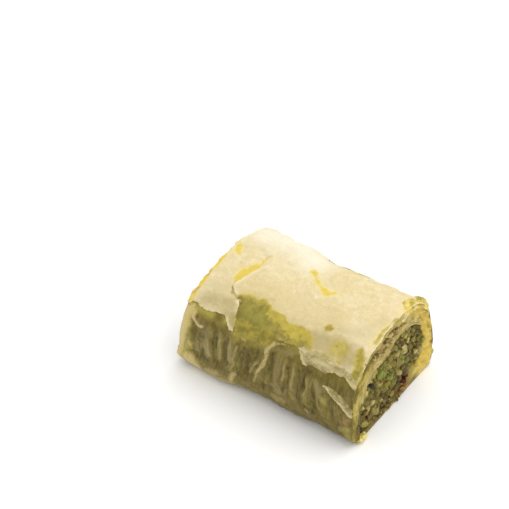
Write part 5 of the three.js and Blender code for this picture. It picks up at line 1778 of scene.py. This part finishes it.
def make_chips(colours):
    """Nut fragments set in both ends, one joined piece for each kind."""
    c = colours
    templates = [chip_template(2, chip_cuts(which)) for which in range(CHIP_KINDS)]
    deep_green = tuple(v * 0.6 for v in c.nut_green)
    recipes = {
        "green": (c.nut_green, (0.25, 0.29, 0.055), deep_green),
        "olive": (c.nut_olive, (0.27, 0.23, 0.045), c.nut_brown),
        "pale": (c.nut_pale, (0.56, 0.47, 0.17), c.nut_olive),
        "brown": (c.nut_brown, (0.27, 0.18, 0.045), c.nut_dark_and_gap_shade),
        "skin": (c.nut_skin, (0.13, 0.012, 0.008), c.nut_dark_and_gap_shade),
        "rust": ((0.40, 0.21, 0.06), (0.50, 0.33, 0.10), (0.22, 0.10, 0.025)),
    }
    for kind, chips in scatter_plan().items():
        material = nut_material(f"{kind} nut", *recipes[kind])
        scatter_piece(f"nut_chips_{kind}", chips, templates, material)


# ---------------------------------------------------------------- foot curl

# Middle of the curl in the drawing, its half length, and its turn and reach from its inner to its outer edge.
CURL_X, CURL_Y, CURL_Z = 25.15, -14.4, 1.18
CURL_HALF = 1.35
CURL_TURN = (-0.6, 7.4)
CURL_REACH = (0.35, 1.02)
CURL_LEAN = 0.2


def make_curl(sizes, colours):
    """The curl of syrupy pastry at the front foot of the right end."""
    ob, a, b = new_grid("foot_curl", 60, 28)
    turn = mix(*CURL_TURN, a)
    reach = mix(*CURL_REACH, a) + 0.06 * ripple(a * 9, b * 5, 31)
    run = mix(-CURL_HALF, CURL_HALF, b) + 0.16 * ripple(a * 5, b * 2, 33)
    pinch = 1 - 0.35 * (2 * b - 1) ** 2
    x = CURL_X + np.cos(turn) * reach * pinch
    z = CURL_Z + np.sin(turn) * reach * pinch
    y = CURL_Y + run - CURL_LEAN * (z - 1.2)
    mould(ob, np.stack([x, y, np.maximum(z, 0.05)], -1))
    hollow = smooth(ripple(a * 7, b * 4, 35), 0.2, 0.9)
    mark(ob, end_place=np.stack([a * 6, b * 3, a], -1), groove=0.5 * hollow)
    thicken(ob, sizes.curl_thickness, 0)
    finish_piece(ob, curl_material(colours))


# ---------------------------------------------------------------- stage

# Camera and the point it looks at, in millimetres of the drawing.
CAMERA_PLACE = (139.031, -215.168, 261.466)
CAMERA_AIM = (-30.344, 22.465, 0.0)
CAMERA_LENS = 109.485
# Lamp, the point it shines at and the floor, in metres. The floor lies a hair under the piece.
LAMP_PLACE = (0.13, 0.20, 0.57)
LAMP_AIM = (0, 0, 0.01)
FLOOR_SIDE, FLOOR_LEVEL = 3, -0.00003


class BaklavaStudio(bpy.types.PropertyGroup):
    """Light and floor."""

    key_power: FloatProperty(
        name="Key light", description="Power of the large lamp above", unit="POWER", default=1.87
    )
    key_size: length_setting("Key size", 0.6, "Side of the large lamp")
    sky: FloatProperty(name="Sky", description="Strength of the plain white surround", default=0.95, min=0)
    floor_colour: colour_setting("Floor", (0.93, 0.93, 0.92), "Pale floor")


def set_up(name, data, place, aim):
    """Puts a lamp or a camera at its place, turned to the point that it looks at."""
    ob = bpy.data.objects.new(name, data)
    ob.location = place
    ob.rotation_euler = (Vector(aim) - ob.location).to_track_quat("-Z", "Y").to_euler()
    bpy.context.scene.collection.objects.link(ob)
    return ob


def make_stage(studio):
    """White surround, pale floor, one large soft lamp and the camera."""
    scene = bpy.context.scene
    world = bpy.data.worlds.new("studio")
    world.use_nodes = True
    sky = world.node_tree.nodes["Background"]
    sky.inputs["Color"].default_value = (1.0, 1.0, 1.0, 1)
    sky.inputs["Strength"].default_value = studio.sky
    scene.world = world
    scene.view_settings.view_transform = "Standard"

    alone()
    bpy.ops.mesh.primitive_plane_add(size=FLOOR_SIDE, location=(0, 0, FLOOR_LEVEL))
    floor = bpy.context.object
    floor.name = "floor"
    mat = Recipe("pale floor", Roughness=0.9, Base_Color=(*studio.floor_colour, 1), Specular_IOR_Level=0.1)
    floor.data.materials.append(mat.material)

    lamp = bpy.data.lights.new("key", "AREA")
    lamp.energy = studio.key_power
    lamp.shape = "SQUARE"
    lamp.size = studio.key_size
    set_up("key", lamp, LAMP_PLACE, LAMP_AIM)

    view = bpy.data.cameras.new("camera")
    view.sensor_width = 36
    view.lens = CAMERA_LENS
    view.clip_start, view.clip_end = 0.01, 10
    place, aim = ((np.array(point) + DRAWING_SHIFT) * MM for point in (CAMERA_PLACE, CAMERA_AIM))
    scene.camera = set_up("camera", view, place, aim)


# ---------------------------------------------------------------- operators


def settings(context):
    """The sizes and the colours that the user has set."""
    return context.scene.baklava_sizes, context.scene.baklava_colours


class BAKLAVA_OT_wrapper(bpy.types.Operator):
    """Adds the wet wrapper with its pleated sides and cut rims"""

    bl_idname = "baklava.wrapper"
    bl_label = "Wrapper"

    def execute(self, context):
        make_wrapper(*settings(context))
        return {"FINISHED"}


class BAKLAVA_OT_sheets(bpy.types.Operator):
    """Adds the dry and soaked sheets, the flaps and the flakes"""

    bl_idname = "baklava.sheets"
    bl_label = "Sheets and flakes"

    def execute(self, context):
        make_sheets(*settings(context))
        return {"FINISHED"}


class BAKLAVA_OT_ply(bpy.types.Operator):
    """Adds the rolled-in ply between the two fillings"""

    bl_idname = "baklava.ply"
    bl_label = "Inner ply"

    def execute(self, context):
        make_ply(*settings(context))
        return {"FINISHED"}


class BAKLAVA_OT_fillings(bpy.types.Operator):
    """Adds the two bodies of ground pistachio filling"""

    bl_idname = "baklava.fillings"
    bl_label = "Fillings"

    def execute(self, context):
        make_fillings(context.scene.baklava_colours)
        return {"FINISHED"}


class BAKLAVA_OT_chips(bpy.types.Operator):
    """Adds the nut chips at both ends"""

    bl_idname = "baklava.chips"
    bl_label = "Nut chips"

    def execute(self, context):
        make_chips(context.scene.baklava_colours)
        return {"FINISHED"}


class BAKLAVA_OT_curl(bpy.types.Operator):
    """Adds the syrupy curl at the foot of the right end"""

    bl_idname = "baklava.curl"
    bl_label = "Foot curl"

    def execute(self, context):
        make_curl(*settings(context))
        return {"FINISHED"}


class BAKLAVA_OT_stage(bpy.types.Operator):
    """Adds the floor, the light and the camera"""

    bl_idname = "baklava.stage"
    bl_label = "Stage"

    def execute(self, context):
        make_stage(context.scene.baklava_studio)
        return {"FINISHED"}


OPERATORS = (
    BAKLAVA_OT_wrapper,
    BAKLAVA_OT_sheets,
    BAKLAVA_OT_ply,
    BAKLAVA_OT_fillings,
    BAKLAVA_OT_chips,
    BAKLAVA_OT_curl,
    BAKLAVA_OT_stage,
)


class BAKLAVA_PT_panel(bpy.types.Panel):
    """Lists the pieces of the baklava"""

    bl_idname = "BAKLAVA_PT_panel"
    bl_label = "Baklava"
    bl_space_type = "VIEW_3D"
    bl_region_type = "UI"
    bl_category = "Baklava"

    def draw(self, context):
        for operator in OPERATORS:
            self.layout.operator(operator.bl_idname)
        scene = context.scene
        for group in (scene.baklava_sizes, scene.baklava_colours, scene.baklava_studio):
            for name in group.__annotations__:
                self.layout.prop(group, name)


CLASSES = (BaklavaSizes, BaklavaColours, BaklavaStudio, *OPERATORS, BAKLAVA_PT_panel)


def register():
    """Makes the settings, the operators and the panel known to Blender."""
    for item in CLASSES:
        bpy.utils.register_class(item)
    bpy.types.Scene.baklava_sizes = PointerProperty(type=BaklavaSizes)
    bpy.types.Scene.baklava_colours = PointerProperty(type=BaklavaColours)
    bpy.types.Scene.baklava_studio = PointerProperty(type=BaklavaStudio)


def unregister():
    """Takes back what register made known."""
    del bpy.types.Scene.baklava_studio
    del bpy.types.Scene.baklava_colours
    del bpy.types.Scene.baklava_sizes
    for item in reversed(CLASSES):
        bpy.utils.unregister_class(item)


def main():
    """Makes every piece and the stage."""
    register()
    bpy.ops.baklava.wrapper()
    bpy.ops.baklava.sheets()
    bpy.ops.baklava.ply()
    bpy.ops.baklava.fillings()
    bpy.ops.baklava.chips()
    bpy.ops.baklava.curl()
    bpy.ops.baklava.stage()


if __name__ == "__main__":
    main()
